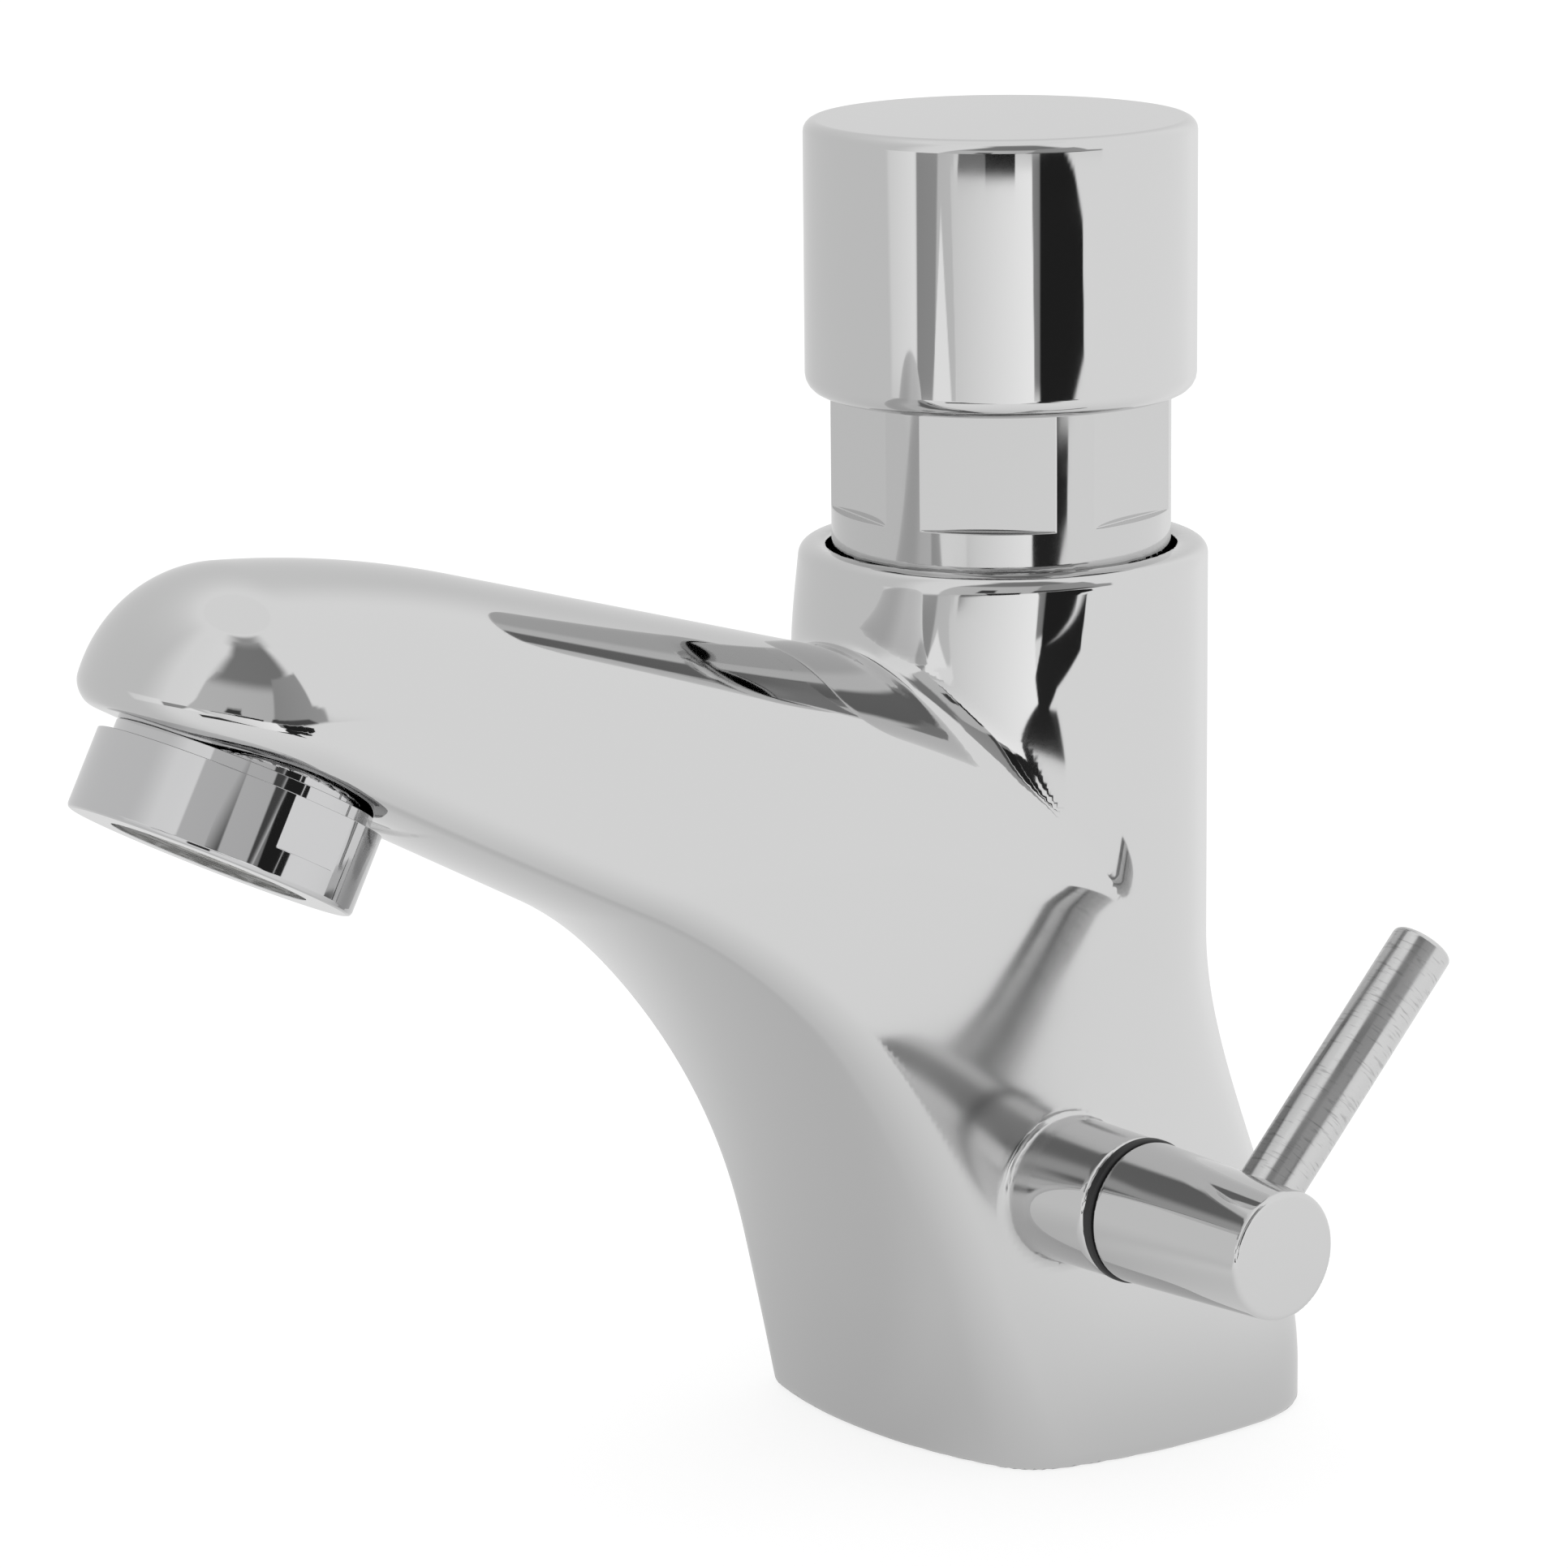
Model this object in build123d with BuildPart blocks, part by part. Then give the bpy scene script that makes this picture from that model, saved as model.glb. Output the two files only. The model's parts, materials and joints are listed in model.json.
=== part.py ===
from build123d import *
from math import cos, hypot, radians, sin, sqrt, tan
import os

# Push timed basin tap with a side temperature lever.
# Millimetres. The origin is on the push cap's axis in the plane that the tap stands on.
# +Z is up, the spout reaches towards -Y and the temperature lever is on the +X side.

# Column and collar
column_radius = 21.2
collar_rise = 14.8
collar_lip = 1.2
mouth_radius = 18.0
mouth_depth = 6.0

# Base flare: the round column grows into a rounded square foot
flare_top = 51.0
flare_bottom = 4.0
flare_levels = 9
foot_half_width = 25.2
foot_widest_y = 7.0
foot_back = 27.0
foot_corner_x = 21.3
foot_corner_y = 22.2
foot_back_round = 0.9
foot_front_side_x = 24.4
foot_front_side_y = -3.5
foot_front_corner_x = 22.2
foot_front_corner_y = -13.0
foot_front_edge_y = -24.0
foot_front_round = 5.0
foot_front_lean = 0.45
foot_back_share = 0.62
flare_start_inset = 0.35

# Spout: an arched bar that narrows and rises from the column to the nose
spout_reach = 95.3
nose_radius = 15.2
top_line_height = 77.2
top_line_slope = 0.29
top_droop_start = 70.0
top_droop_radius = 112.7
spout_root_y = 3.0
spout_root_inset = 0.4
spout_station_shares = (0.0, 0.12, 0.25, 0.39, 0.53, 0.67, 0.79, 0.9, 1.0)
spout_floor_start = 6.0
spout_side_floor = 20.0
spout_floor_lag_share = 0.1

# Underside of the spout and front of the column: one crowned sheet
front_foot_y = -19.0
front_angle = 75.5
front_bend_radius = 72.0
front_crown_radius = 58.0
front_cut_half_width = 34.0
front_cut_depth = 46.0

# Outlet end of the spout, from the nose's centre and the top line
outlet_back_from_nose = 1.1
outlet_drop = 20.01
outlet_tilt = 28.3
outlet_face_back = 14.9
outlet_crown_drop = 0.5
aerator_bore_radius = 11.6
aerator_bore_depth = 9.0

# Temperature valve across the column
valve_y = -10.0
valve_z = 29.6
valve_bore_radius = 5.2
valve_bore_end = -15.0
boss_face = 31.9
boss_root_radius = 7.55
boss_face_radius = 7.25

# Waterways
spout_way_radius = 7.0
spout_way_inset = 3.5
spout_way_back = 8.2
spout_way_rise = 5.6
riser_radius = 3.6
riser_y = -6.0

# Foot recess with its ports
recess_half_width = 16.5
recess_front = -13.0
recess_back = 19.0
recess_corner = 6.0
recess_depth = 11.0
stud_boss_radius = 6.0
stud_hole_radius = 3.4
stud_hole_depth = 16.0
port_x = 9.5
port_y = -7.5
port_radius = 4.5
port_depth = 10.0
port_way_radius = 2.5
strainer_seat_radius = 3.6
strainer_seat_depth = 3.0
gasket_offset = 1.8
gasket_width = 2.0
gasket_height = 1.5
strainer_height = 2.6
strainer_rim = 0.8

# Push cartridge, as depths below the collar's top and heights above it
chamber_depth = 44.5
chamber_radius = 10.0
seat_depth = 31.4
sleeve_seat_radius = 14.5
thread_radius = 16.0
thread_depth = 18.0
sleeve_radius = 12.9
sleeve_bore = 11.0
sleeve_floor = 2.4
sleeve_rise = 6.0
sleeve_flange = 2.0
seat_hole_radius = 6.0
window_radius = 2.6
window_above_seat = 7.0
window_count = 6
bonnet_radius = 17.4
bonnet_flats = 32.0
bonnet_flats_azimuth = 44.3
bonnet_flats_rise = 5.3
bonnet_bore = 13.0
bonnet_web_rise = 10.0
bonnet_web = 6.0
bonnet_cup_radius = 15.0
bush_radius = 5.0
bush_flange_radius = 7.0
bush_flange = 1.2
spindle_radius = 3.0
piston_depth = 12.0
piston_height = 8.0
piston_seal_height = 2.4
piston_seal_depth = 1.6
washer_radius = 8.5
washer_height = 2.6
washer_carrier_height = 1.6
spring_outer_radius = 9.6
spring_wire = 1.5
seal_height = 2.0
bonnet_seal_depth_down = 11.5
bonnet_seal_height = 1.8
bonnet_seal_depth = 1.5
bonnet_seal_round = 0.3
stem_seal_round = 0.4
washer_round = 0.4
piston_seal_round = 0.6

# Push cap
cap_radius = 20.0
cap_rise = 15.6
cap_height = 27.9
cap_crown = 2.6
cap_top_round = 1.3
cap_bottom_round = 2.0
cap_boss_radius = 5.5
cap_boss_length = 8.9
cap_screw_radius = 2.5
cap_screw_length = 7.0
cap_screw_chamfer = 0.5
cap_nut_flats = 8.0
cap_nut_height = 3.2
push_stroke = 8.0
cap_headroom = 0.9

# Aerator, measured along its own axis from the outlet face
neck_radius = 12.9
neck_height = 1.3
housing_radius = 14.27
housing_height = 8.1
housing_bore = 10.4
housing_lip_radius = 9.8
housing_lip = 0.8
housing_round = 0.6
housing_sleeve = 6.0
key_flat = 0.45
key_flat_height = 5.2
jet_wall = 1.0
jet_grid_height = 3.0
insert_cells = 5
insert_cell_radius = 1.35
insert_cell_pitch = 1.6
screen_height = 0.6
aerator_washer_height = 1.6
aerator_washer_hole = 8.0

# Temperature knob, lever and mixing spindle
knob_end = 53.2
knob_seam_radius = 7.2
knob_end_radius = 6.5
knob_round = 0.35
knob_bore_end = 50.4
seal_ring_width = 1.1
seal_ring_radius = 7.38
seal_ring_round = 0.3
lever_x = 46.3
lever_lean = 44.5
lever_reach = 36.3
lever_radius = 3.22
lever_round = 0.6
lever_seat = 5.0
lever_screw_radius = 2.2
plug_radius = 5.13
plug_start = -14.6
plug_end = 15.0
plug_bore = 3.4
plug_window_radius = 2.3
plug_seal_width = 1.6
plug_seal_depth = 1.1
plug_seal_places = (-4.8, 4.8, 13.0)
gland_start = 15.2

# Fits
running_fit = 0.05
loose_fit = 0.1
cap_gap = 0.3
overrun = 5.0

os.makedirs("parts", exist_ok=True)


def smooth_step(share):
    share = min(max(share, 0.0), 1.0)
    return share * share * (3.0 - 2.0 * share)


def spout_half_width(y):
    return column_radius + (nose_radius - column_radius) * smooth_step(-y / spout_reach)


def spout_top(y):
    rise = top_line_height + top_line_slope * -y
    past = max(-y - top_droop_start, 0.0)
    return rise - past * past / (2.0 * top_droop_radius)


# Levels of the collar, the cartridge and the cap
collar_top = top_line_height + collar_rise
mouth_bottom = collar_top - mouth_depth
thread_bottom = collar_top - thread_depth
seat_height = collar_top - seat_depth
chamber_bottom = collar_top - chamber_depth
sleeve_top = collar_top + sleeve_rise
window_height = seat_height + window_above_seat
bonnet_flats_bottom = collar_top + bonnet_flats_rise
bonnet_web_bottom = collar_top + bonnet_web_rise
bonnet_web_top = bonnet_web_bottom + bonnet_web
bonnet_seal_bottom = collar_top - bonnet_seal_depth_down
piston_bottom = collar_top - piston_depth
carrier_bottom = seat_height - washer_height - washer_carrier_height
cap_bottom = collar_top + cap_rise
cap_top = cap_bottom + cap_height
cap_ceiling = cap_top - cap_crown
cap_boss_bottom = cap_ceiling - cap_boss_length
bonnet_top = cap_ceiling - push_stroke - cap_headroom

# The underside's line: up the front of the foot, round one bend and along under the spout
tilt = radians(outlet_tilt)
steep = radians(front_angle)
outlet_y = outlet_back_from_nose - spout_reach
outlet_z = spout_top(-spout_reach) - outlet_drop
under_y = outlet_y + outlet_face_back * cos(tilt)
under_z = outlet_z - outlet_face_back * sin(tilt) - outlet_crown_drop / cos(tilt)
foot_run = (under_z + tan(tilt) * (under_y - front_foot_y)) / (sin(steep) - tan(tilt) * cos(steep))
corner_y = front_foot_y - foot_run * cos(steep)
corner_z = foot_run * sin(steep)
front_end_length = spout_reach - column_radius

flare_height = flare_top - flare_bottom
nose_spring = spout_top(-spout_reach) - nose_radius
nose_floor = nose_spring - spout_side_floor
boss_root = column_radius - valve_bore_radius
outlet_face_length = outlet_face_back + 2.0 * nose_radius
outlet_plane = Plane(origin=(0, outlet_y, outlet_z), x_dir=(1, 0, 0), z_dir=(0, -sin(tilt), -cos(tilt)))
spout_way_start_y = spout_way_inset - sleeve_seat_radius
spout_way_start_z = (seat_height + thread_bottom) / 2.0
spout_way_end_y = outlet_y + spout_way_back
spout_way_end_z = outlet_z + spout_way_rise
spout_way_run = hypot(spout_way_end_y - spout_way_start_y, spout_way_end_z - spout_way_start_z)
spout_way_plane = Plane(
    origin=(0, spout_way_start_y, spout_way_start_z),
    x_dir=(1, 0, 0),
    z_dir=(0, spout_way_end_y - spout_way_start_y, spout_way_end_z - spout_way_start_z),
)
port_top = recess_depth + port_depth
recess_width = 2.0 * recess_half_width
recess_length = recess_back - recess_front
recess_middle = (recess_back + recess_front) / 2.0
foot_back_half = [
    (0.0, foot_back),
    (foot_corner_x * foot_back_share, foot_back - foot_back_round),
    (foot_corner_x, foot_corner_y),
    (foot_half_width, foot_widest_y),
]
foot_front_half = [
    (foot_front_side_x, foot_front_side_y),
    (foot_front_corner_x, foot_front_corner_y),
    (foot_front_corner_x - foot_back_round, foot_front_edge_y),
    (foot_front_corner_x * foot_back_share, foot_front_edge_y - foot_front_round),
    (0.0, foot_front_edge_y - foot_front_round),
]


def flare_outline(height):
    """Outline of the flaring foot at one height: round above, squared at the foot."""
    grown = smooth_step((flare_top - height) / flare_height)
    start = column_radius - flare_start_inset
    half = []
    for x, y in foot_back_half:
        reach = hypot(x, y)
        round_x, round_y = start * x / reach, start * y / reach
        half.append((round_x + grown * (x - round_x), round_y + grown * (y - round_y)))
    for x, y in foot_front_half:
        lean_y = y - foot_front_lean * height
        side_x = spout_half_width(lean_y) - flare_start_inset
        start_x = side_x if y > foot_front_edge_y else side_x * x / foot_front_corner_x
        half.append((start_x + grown * (x - start_x), lean_y))
    return half + [(-x, y) for x, y in reversed(half[1:-1])]


def gasket_outline(play):
    """Ring outline of the foot gasket, smaller by the play on each side."""
    inner = gasket_offset + play
    outer = gasket_offset + gasket_width - play
    with Locations((0, recess_middle)):
        RectangleRounded(recess_width + 2.0 * outer, recess_length + 2.0 * outer, recess_corner + outer)
        inside = recess_corner + inner
        RectangleRounded(recess_width + 2.0 * inner, recess_length + 2.0 * inner, inside, mode=Mode.SUBTRACT)


# Cast body
with BuildPart() as tap_body:
    # Spout and sides: arched sections from inside the column to the nose
    for share in spout_station_shares:
        y = spout_root_y - (spout_reach + spout_root_y) * share
        half_width = spout_half_width(y) if share > 0 else spout_half_width(y) - spout_root_inset
        spring = spout_top(y) - half_width
        floor_share = smooth_step(share + spout_floor_lag_share * (2.0 * share - 1.0))
        floor = spout_floor_start + (nose_floor - spout_floor_start) * floor_share
        with BuildSketch(Plane(origin=(0, y, 0), x_dir=(1, 0, 0), z_dir=(0, -1, 0))):
            with BuildLine():
                Line((-half_width, floor), (half_width, floor))
                Line((half_width, floor), (half_width, spring))
                ThreePointArc((half_width, spring), (0, spring + half_width), (-half_width, spring))
                Line((-half_width, spring), (-half_width, floor))
            make_face()
    loft()

    # Nose: the last section turned about its upright axis
    with BuildSketch(Plane(origin=(0, -spout_reach, 0), x_dir=(1, 0, 0), z_dir=(0, -1, 0))):
        with BuildLine():
            Line((0, nose_floor), (nose_radius, nose_floor))
            Line((nose_radius, nose_floor), (nose_radius, nose_spring))
            CenterArc((0, nose_spring), nose_radius, 0, 90)
            Line((0, nose_spring + nose_radius), (0, nose_floor))
        make_face()
    revolve(axis=Axis((0, -spout_reach, 0), (0, 0, 1)), revolution_arc=-180)

    # Column with its collar
    with BuildSketch(Plane.XY):
        Circle(column_radius)
    extrude(amount=collar_top)
    lip_edges = tap_body.edges().filter_by(GeomType.CIRCLE).group_by(Axis.Z)[-1]
    fillet(lip_edges, collar_lip)

    # Flare to the foot
    for level in range(flare_levels):
        height = flare_bottom + flare_height * level / (flare_levels - 1)
        with BuildSketch(Plane.XY.offset(height)):
            with BuildLine():
                Spline(*flare_outline(height), periodic=True)
            make_face()
    loft()
    with BuildSketch(Plane.XY):
        with BuildLine():
            Spline(*flare_outline(flare_bottom), periodic=True)
        make_face()
    extrude(amount=flare_bottom)

    # Crowned sheet that cuts the front of the column and the underside of the spout
    with BuildLine() as front_path:
        FilletPolyline(
            (0, front_foot_y + overrun * cos(steep), -overrun * sin(steep)),
            (0, corner_y, corner_z),
            (0, corner_y - front_end_length * cos(tilt), corner_z + front_end_length * sin(tilt)),
            radius=front_bend_radius,
        )
    crown_rise = front_crown_radius - sqrt(front_crown_radius ** 2 - front_cut_half_width ** 2)
    front_start = Plane(
        origin=(0, front_foot_y + overrun * cos(steep), -overrun * sin(steep)),
        x_dir=(1, 0, 0),
        z_dir=(0, -cos(steep), sin(steep)),
    )
    with BuildSketch(front_start):
        with BuildLine():
            ThreePointArc((-front_cut_half_width, crown_rise), (0, 0), (front_cut_half_width, crown_rise))
            Line((front_cut_half_width, crown_rise), (front_cut_half_width, -front_cut_depth))
            Line((front_cut_half_width, -front_cut_depth), (-front_cut_half_width, -front_cut_depth))
            Line((-front_cut_half_width, -front_cut_depth), (-front_cut_half_width, crown_rise))
        make_face()
    sweep(path=front_path.wires()[0], mode=Mode.SUBTRACT)

    # Outlet face under the nose
    with BuildSketch(outlet_plane):
        with Locations((0, -outlet_face_back)):
            Rectangle(front_cut_half_width, outlet_face_length, align=(Align.CENTER, Align.MIN))
    extrude(amount=front_cut_depth, mode=Mode.SUBTRACT)

    # Boss for the temperature valve
    with BuildSketch(Plane.XZ.offset(-valve_y)):
        with BuildLine():
            Polyline(
                (0, valve_z),
                (boss_face, valve_z),
                (boss_face, valve_z + boss_face_radius),
                (boss_root, valve_z + boss_root_radius),
                (0, valve_z + boss_root_radius),
                close=True,
            )
        make_face()
    revolve(axis=Axis((0, valve_y, valve_z), (1, 0, 0)))

    # Bore for the push cartridge, wide at the mouth and stepped down to its chamber
    for bottom, top, radius in (
        (mouth_bottom, collar_top, mouth_radius),
        (thread_bottom, mouth_bottom, thread_radius),
        (seat_height, thread_bottom, sleeve_seat_radius),
        (chamber_bottom, seat_height, chamber_radius),
    ):
        with BuildSketch(Plane.XY.offset(bottom)):
            Circle(radius)
        extrude(amount=top - bottom, mode=Mode.SUBTRACT)

    # Waterways: mixing bore to chamber, and cartridge to aerator
    with BuildSketch(Plane.XY.offset(valve_z)):
        with Locations((0, riser_y)):
            Circle(riser_radius)
    extrude(amount=chamber_bottom - valve_z, mode=Mode.SUBTRACT)
    with BuildSketch(spout_way_plane):
        Circle(spout_way_radius)
    extrude(amount=spout_way_run, mode=Mode.SUBTRACT)
    with BuildSketch(outlet_plane):
        Circle(aerator_bore_radius)
    extrude(amount=-aerator_bore_depth, mode=Mode.SUBTRACT)
    with BuildSketch(Plane.YZ.offset(valve_bore_end)):
        with Locations((valve_y, valve_z)):
            Circle(valve_bore_radius)
    extrude(amount=boss_face - valve_bore_end, mode=Mode.SUBTRACT)

    # Open foot with a boss for the fixing stud, two inlet ports and a gasket groove
    with BuildSketch(Plane.XY):
        with Locations((0, recess_middle)):
            RectangleRounded(recess_width, recess_length, recess_corner)
        Circle(stud_boss_radius, mode=Mode.SUBTRACT)
    extrude(amount=recess_depth, mode=Mode.SUBTRACT)
    with BuildSketch(Plane.XY):
        Circle(stud_hole_radius)
    extrude(amount=stud_hole_depth, mode=Mode.SUBTRACT)
    with BuildSketch(Plane.XY.offset(recess_depth)):
        with Locations((-port_x, port_y), (port_x, port_y)):
            Circle(port_radius)
    extrude(amount=port_depth, mode=Mode.SUBTRACT)
    with BuildSketch(Plane.XY.offset(port_top)):
        with Locations((-port_x, port_y), (port_x, port_y)):
            Circle(strainer_seat_radius)
    extrude(amount=strainer_seat_depth, mode=Mode.SUBTRACT)
    with BuildSketch(Plane.XY.offset(port_top)):
        with Locations((-port_x, port_y), (port_x, port_y)):
            Circle(port_way_radius)
    extrude(amount=valve_z - port_top, mode=Mode.SUBTRACT)
    with BuildSketch(Plane.XY):
        gasket_outline(0.0)
    extrude(amount=gasket_height, mode=Mode.SUBTRACT)
tap_body.part.label = "tap_body"
export_step(tap_body.part, "parts/tap_body.step")


# Foot gasket, pressed flush into its groove
with BuildPart() as base_gasket:
    with BuildSketch(Plane.XY):
        gasket_outline(loose_fit / 2.0)
    extrude(amount=gasket_height - loose_fit)
base_gasket.part.label = "base_gasket"
export_step(base_gasket.part, "parts/base_gasket.step")


# Strainer cups in their seats above the two inlet threads
strainer_radius = strainer_seat_radius - loose_fit
strainer_bottom = port_top + strainer_seat_depth - strainer_height
with BuildPart() as inlet_strainers:
    with BuildSketch(Plane.XY.offset(strainer_bottom)):
        with Locations((-port_x, port_y), (port_x, port_y)):
            Circle(strainer_radius)
    extrude(amount=strainer_height)
    with BuildSketch(Plane.XY.offset(strainer_bottom)):
        with Locations((-port_x, port_y), (port_x, port_y)):
            Circle(strainer_radius - strainer_rim)
    extrude(amount=strainer_height - strainer_rim, mode=Mode.SUBTRACT)
inlet_strainers.part.label = "inlet_strainers"
export_step(inlet_strainers.part, "parts/inlet_strainers.step")


# Cartridge sleeve: the cylinder that the piston runs in, with its seat below and water windows round it
sleeve_bottom = seat_height
flange_bottom = thread_bottom
with BuildPart() as cartridge_sleeve:
    with BuildSketch(Plane.XY.offset(sleeve_bottom)):
        Circle(sleeve_radius)
    extrude(amount=sleeve_top - sleeve_bottom)
    with BuildSketch(Plane.XY.offset(flange_bottom)):
        Circle(thread_radius - loose_fit)
    extrude(amount=sleeve_flange)
    with BuildSketch(Plane.XY.offset(sleeve_bottom + sleeve_floor)):
        Circle(sleeve_bore)
    extrude(amount=sleeve_top - sleeve_bottom, mode=Mode.SUBTRACT)
    with BuildSketch(Plane.XY.offset(sleeve_bottom)):
        Circle(seat_hole_radius)
    extrude(amount=sleeve_floor, mode=Mode.SUBTRACT)
    for window in range(window_count // 2):
        turn = 360.0 * window / window_count
        facing = Plane(origin=(0, 0, window_height), z_dir=(cos(radians(turn)), sin(radians(turn)), 0))
        with BuildSketch(facing):
            Circle(window_radius)
        extrude(amount=sleeve_radius + overrun, both=True, mode=Mode.SUBTRACT)
cartridge_sleeve.part.label = "cartridge_sleeve"
export_step(cartridge_sleeve.part, "parts/cartridge_sleeve.step")


# Bonnet: the threaded, hexagonal neck that holds the cartridge down and guides the cap
bonnet_bottom = thread_bottom + sleeve_flange
with BuildPart() as bonnet:
    with BuildSketch(Plane.XY.offset(bonnet_bottom)):
        Circle(thread_radius - loose_fit)
    extrude(amount=mouth_bottom - bonnet_bottom)
    with BuildSketch(Plane.XY.offset(mouth_bottom)):
        Circle(bonnet_radius)
    extrude(amount=bonnet_flats_bottom - mouth_bottom)
    with BuildSketch(Plane.XY.offset(bonnet_flats_bottom)):
        Circle(bonnet_radius)
        RegularPolygon(
            bonnet_flats / 2.0, 6, major_radius=False, rotation=bonnet_flats_azimuth, mode=Mode.INTERSECT
        )
    extrude(amount=bonnet_top - bonnet_flats_bottom)
    with BuildSketch(Plane.XY.offset(bonnet_bottom)):
        Circle(bonnet_bore)
    extrude(amount=bonnet_web_bottom - bonnet_bottom, mode=Mode.SUBTRACT)
    with BuildSketch(Plane.XY.offset(bonnet_web_bottom)):
        Circle(bush_radius)
    extrude(amount=bonnet_web_top - bonnet_web_bottom, mode=Mode.SUBTRACT)
    with BuildSketch(Plane.XY.offset(bonnet_web_top)):
        Circle(bonnet_cup_radius)
    extrude(amount=bonnet_top - bonnet_web_top, mode=Mode.SUBTRACT)
    with BuildSketch(Plane.XY.offset(bonnet_seal_bottom)):
        Circle(thread_radius)
        Circle(thread_radius - loose_fit - bonnet_seal_depth, mode=Mode.SUBTRACT)
    extrude(amount=bonnet_seal_height, mode=Mode.SUBTRACT)
bonnet.part.label = "bonnet"
export_step(bonnet.part, "parts/bonnet.step")


# Seal round the bonnet's thread
with BuildPart() as bonnet_seal:
    with BuildSketch(Plane.XY.offset(bonnet_seal_bottom + loose_fit / 2.0)):
        Circle(thread_radius - running_fit)
        Circle(thread_radius - bonnet_seal_depth, mode=Mode.SUBTRACT)
    extrude(amount=bonnet_seal_height - loose_fit)
    fillet(bonnet_seal.edges(), bonnet_seal_round)
bonnet_seal.part.label = "bonnet_seal"
export_step(bonnet_seal.part, "parts/bonnet_seal.step")


# Guide bush for the spindle, seated on the bonnet's web
with BuildPart() as guide_bush:
    with BuildSketch(Plane.XY.offset(bonnet_web_bottom)):
        Circle(bush_radius - loose_fit)
    extrude(amount=bonnet_web_top - bonnet_web_bottom)
    with BuildSketch(Plane.XY.offset(bonnet_web_top)):
        Circle(bush_flange_radius)
    extrude(amount=bush_flange)
    with BuildSketch(Plane.XY.offset(bonnet_web_bottom)):
        Circle(spindle_radius + running_fit)
    extrude(amount=bonnet_web_top - bonnet_web_bottom + bush_flange, mode=Mode.SUBTRACT)
guide_bush.part.label = "guide_bush"
export_step(guide_bush.part, "parts/guide_bush.step")


# Stem seal under the web
with BuildPart() as stem_seal:
    with BuildSketch(Plane.XY.offset(bonnet_web_bottom - seal_height)):
        Circle(bush_flange_radius)
        Circle(spindle_radius + running_fit, mode=Mode.SUBTRACT)
    extrude(amount=seal_height)
    fillet(stem_seal.edges().group_by(Axis.Z)[0], stem_seal_round)
stem_seal.part.label = "stem_seal"
export_step(stem_seal.part, "parts/stem_seal.step")


# Push spindle: one rod from the closing washer up into the cap
with BuildPart() as push_spindle:
    with BuildSketch(Plane.XY.offset(carrier_bottom)):
        Circle(spindle_radius)
    extrude(amount=cap_boss_bottom - carrier_bottom)
    with BuildSketch(Plane.XY.offset(cap_boss_bottom)):
        Circle(cap_screw_radius)
    extrude(amount=cap_screw_length)
    with BuildSketch(Plane.XY.offset(carrier_bottom)):
        Circle(washer_radius - loose_fit)
    extrude(amount=washer_carrier_height)
    chamfer(push_spindle.edges().filter_by(GeomType.CIRCLE).group_by(Axis.Z)[-1], cap_screw_chamfer)
push_spindle.part.label = "push_spindle"
export_step(push_spindle.part, "parts/push_spindle.step")


# Closing washer, under the seat
with BuildPart() as closing_washer:
    with BuildSketch(Plane.XY.offset(seat_height - washer_height)):
        Circle(washer_radius)
        Circle(spindle_radius + loose_fit, mode=Mode.SUBTRACT)
    extrude(amount=washer_height)
    fillet(closing_washer.edges().filter_by(GeomType.CIRCLE).sort_by(SortBy.RADIUS)[-2:], washer_round)
closing_washer.part.label = "closing_washer"
export_step(closing_washer.part, "parts/closing_washer.step")


# Timing piston with a groove for its lip seal
piston_middle = piston_bottom + (piston_height - piston_seal_height) / 2.0
with BuildPart() as timing_piston:
    with BuildSketch(Plane.XY.offset(piston_bottom)):
        Circle(sleeve_bore - loose_fit)
        Circle(spindle_radius + loose_fit, mode=Mode.SUBTRACT)
    extrude(amount=piston_height)
    with BuildSketch(Plane.XY.offset(piston_middle)):
        Circle(sleeve_bore)
        Circle(sleeve_bore - loose_fit - piston_seal_depth, mode=Mode.SUBTRACT)
    extrude(amount=piston_seal_height, mode=Mode.SUBTRACT)
timing_piston.part.label = "timing_piston"
export_step(timing_piston.part, "parts/timing_piston.step")


# Lip seal of the piston
with BuildPart() as piston_seal:
    with BuildSketch(Plane.XY.offset(piston_middle + loose_fit / 2.0)):
        Circle(sleeve_bore - running_fit)
        Circle(sleeve_bore - piston_seal_depth, mode=Mode.SUBTRACT)
    extrude(amount=piston_seal_height - loose_fit)
    fillet(piston_seal.edges().group_by(Axis.Z)[-1].sort_by(SortBy.RADIUS)[-1:], piston_seal_round)
piston_seal.part.label = "piston_seal"
export_step(piston_seal.part, "parts/piston_seal.step")


# Return spring between the sleeve's floor and the piston
spring_bottom = sleeve_bottom + sleeve_floor
with BuildPart() as return_spring:
    with BuildSketch(Plane.XY.offset(spring_bottom)):
        Circle(spring_outer_radius)
        Circle(spring_outer_radius - spring_wire, mode=Mode.SUBTRACT)
    extrude(amount=piston_bottom - spring_bottom)
return_spring.part.label = "return_spring"
export_step(return_spring.part, "parts/return_spring.step")


# Push cap: a turned cup with a threaded boss under its crown
with BuildPart() as push_cap:
    with BuildSketch(Plane.XY.offset(cap_bottom)):
        Circle(cap_radius)
    extrude(amount=cap_top - cap_bottom)
    fillet(push_cap.edges().group_by(Axis.Z)[-1], cap_top_round)
    fillet(push_cap.edges().group_by(Axis.Z)[0], cap_bottom_round)
    with BuildSketch(Plane.XY.offset(cap_bottom)):
        Circle(bonnet_radius + cap_gap)
    extrude(amount=cap_ceiling - cap_bottom, mode=Mode.SUBTRACT)
    with BuildSketch(Plane.XY.offset(cap_boss_bottom)):
        Circle(cap_boss_radius)
    extrude(amount=cap_boss_length)
    with BuildSketch(Plane.XY.offset(cap_boss_bottom)):
        Circle(cap_screw_radius + loose_fit)
    extrude(amount=cap_screw_length, mode=Mode.SUBTRACT)
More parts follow.
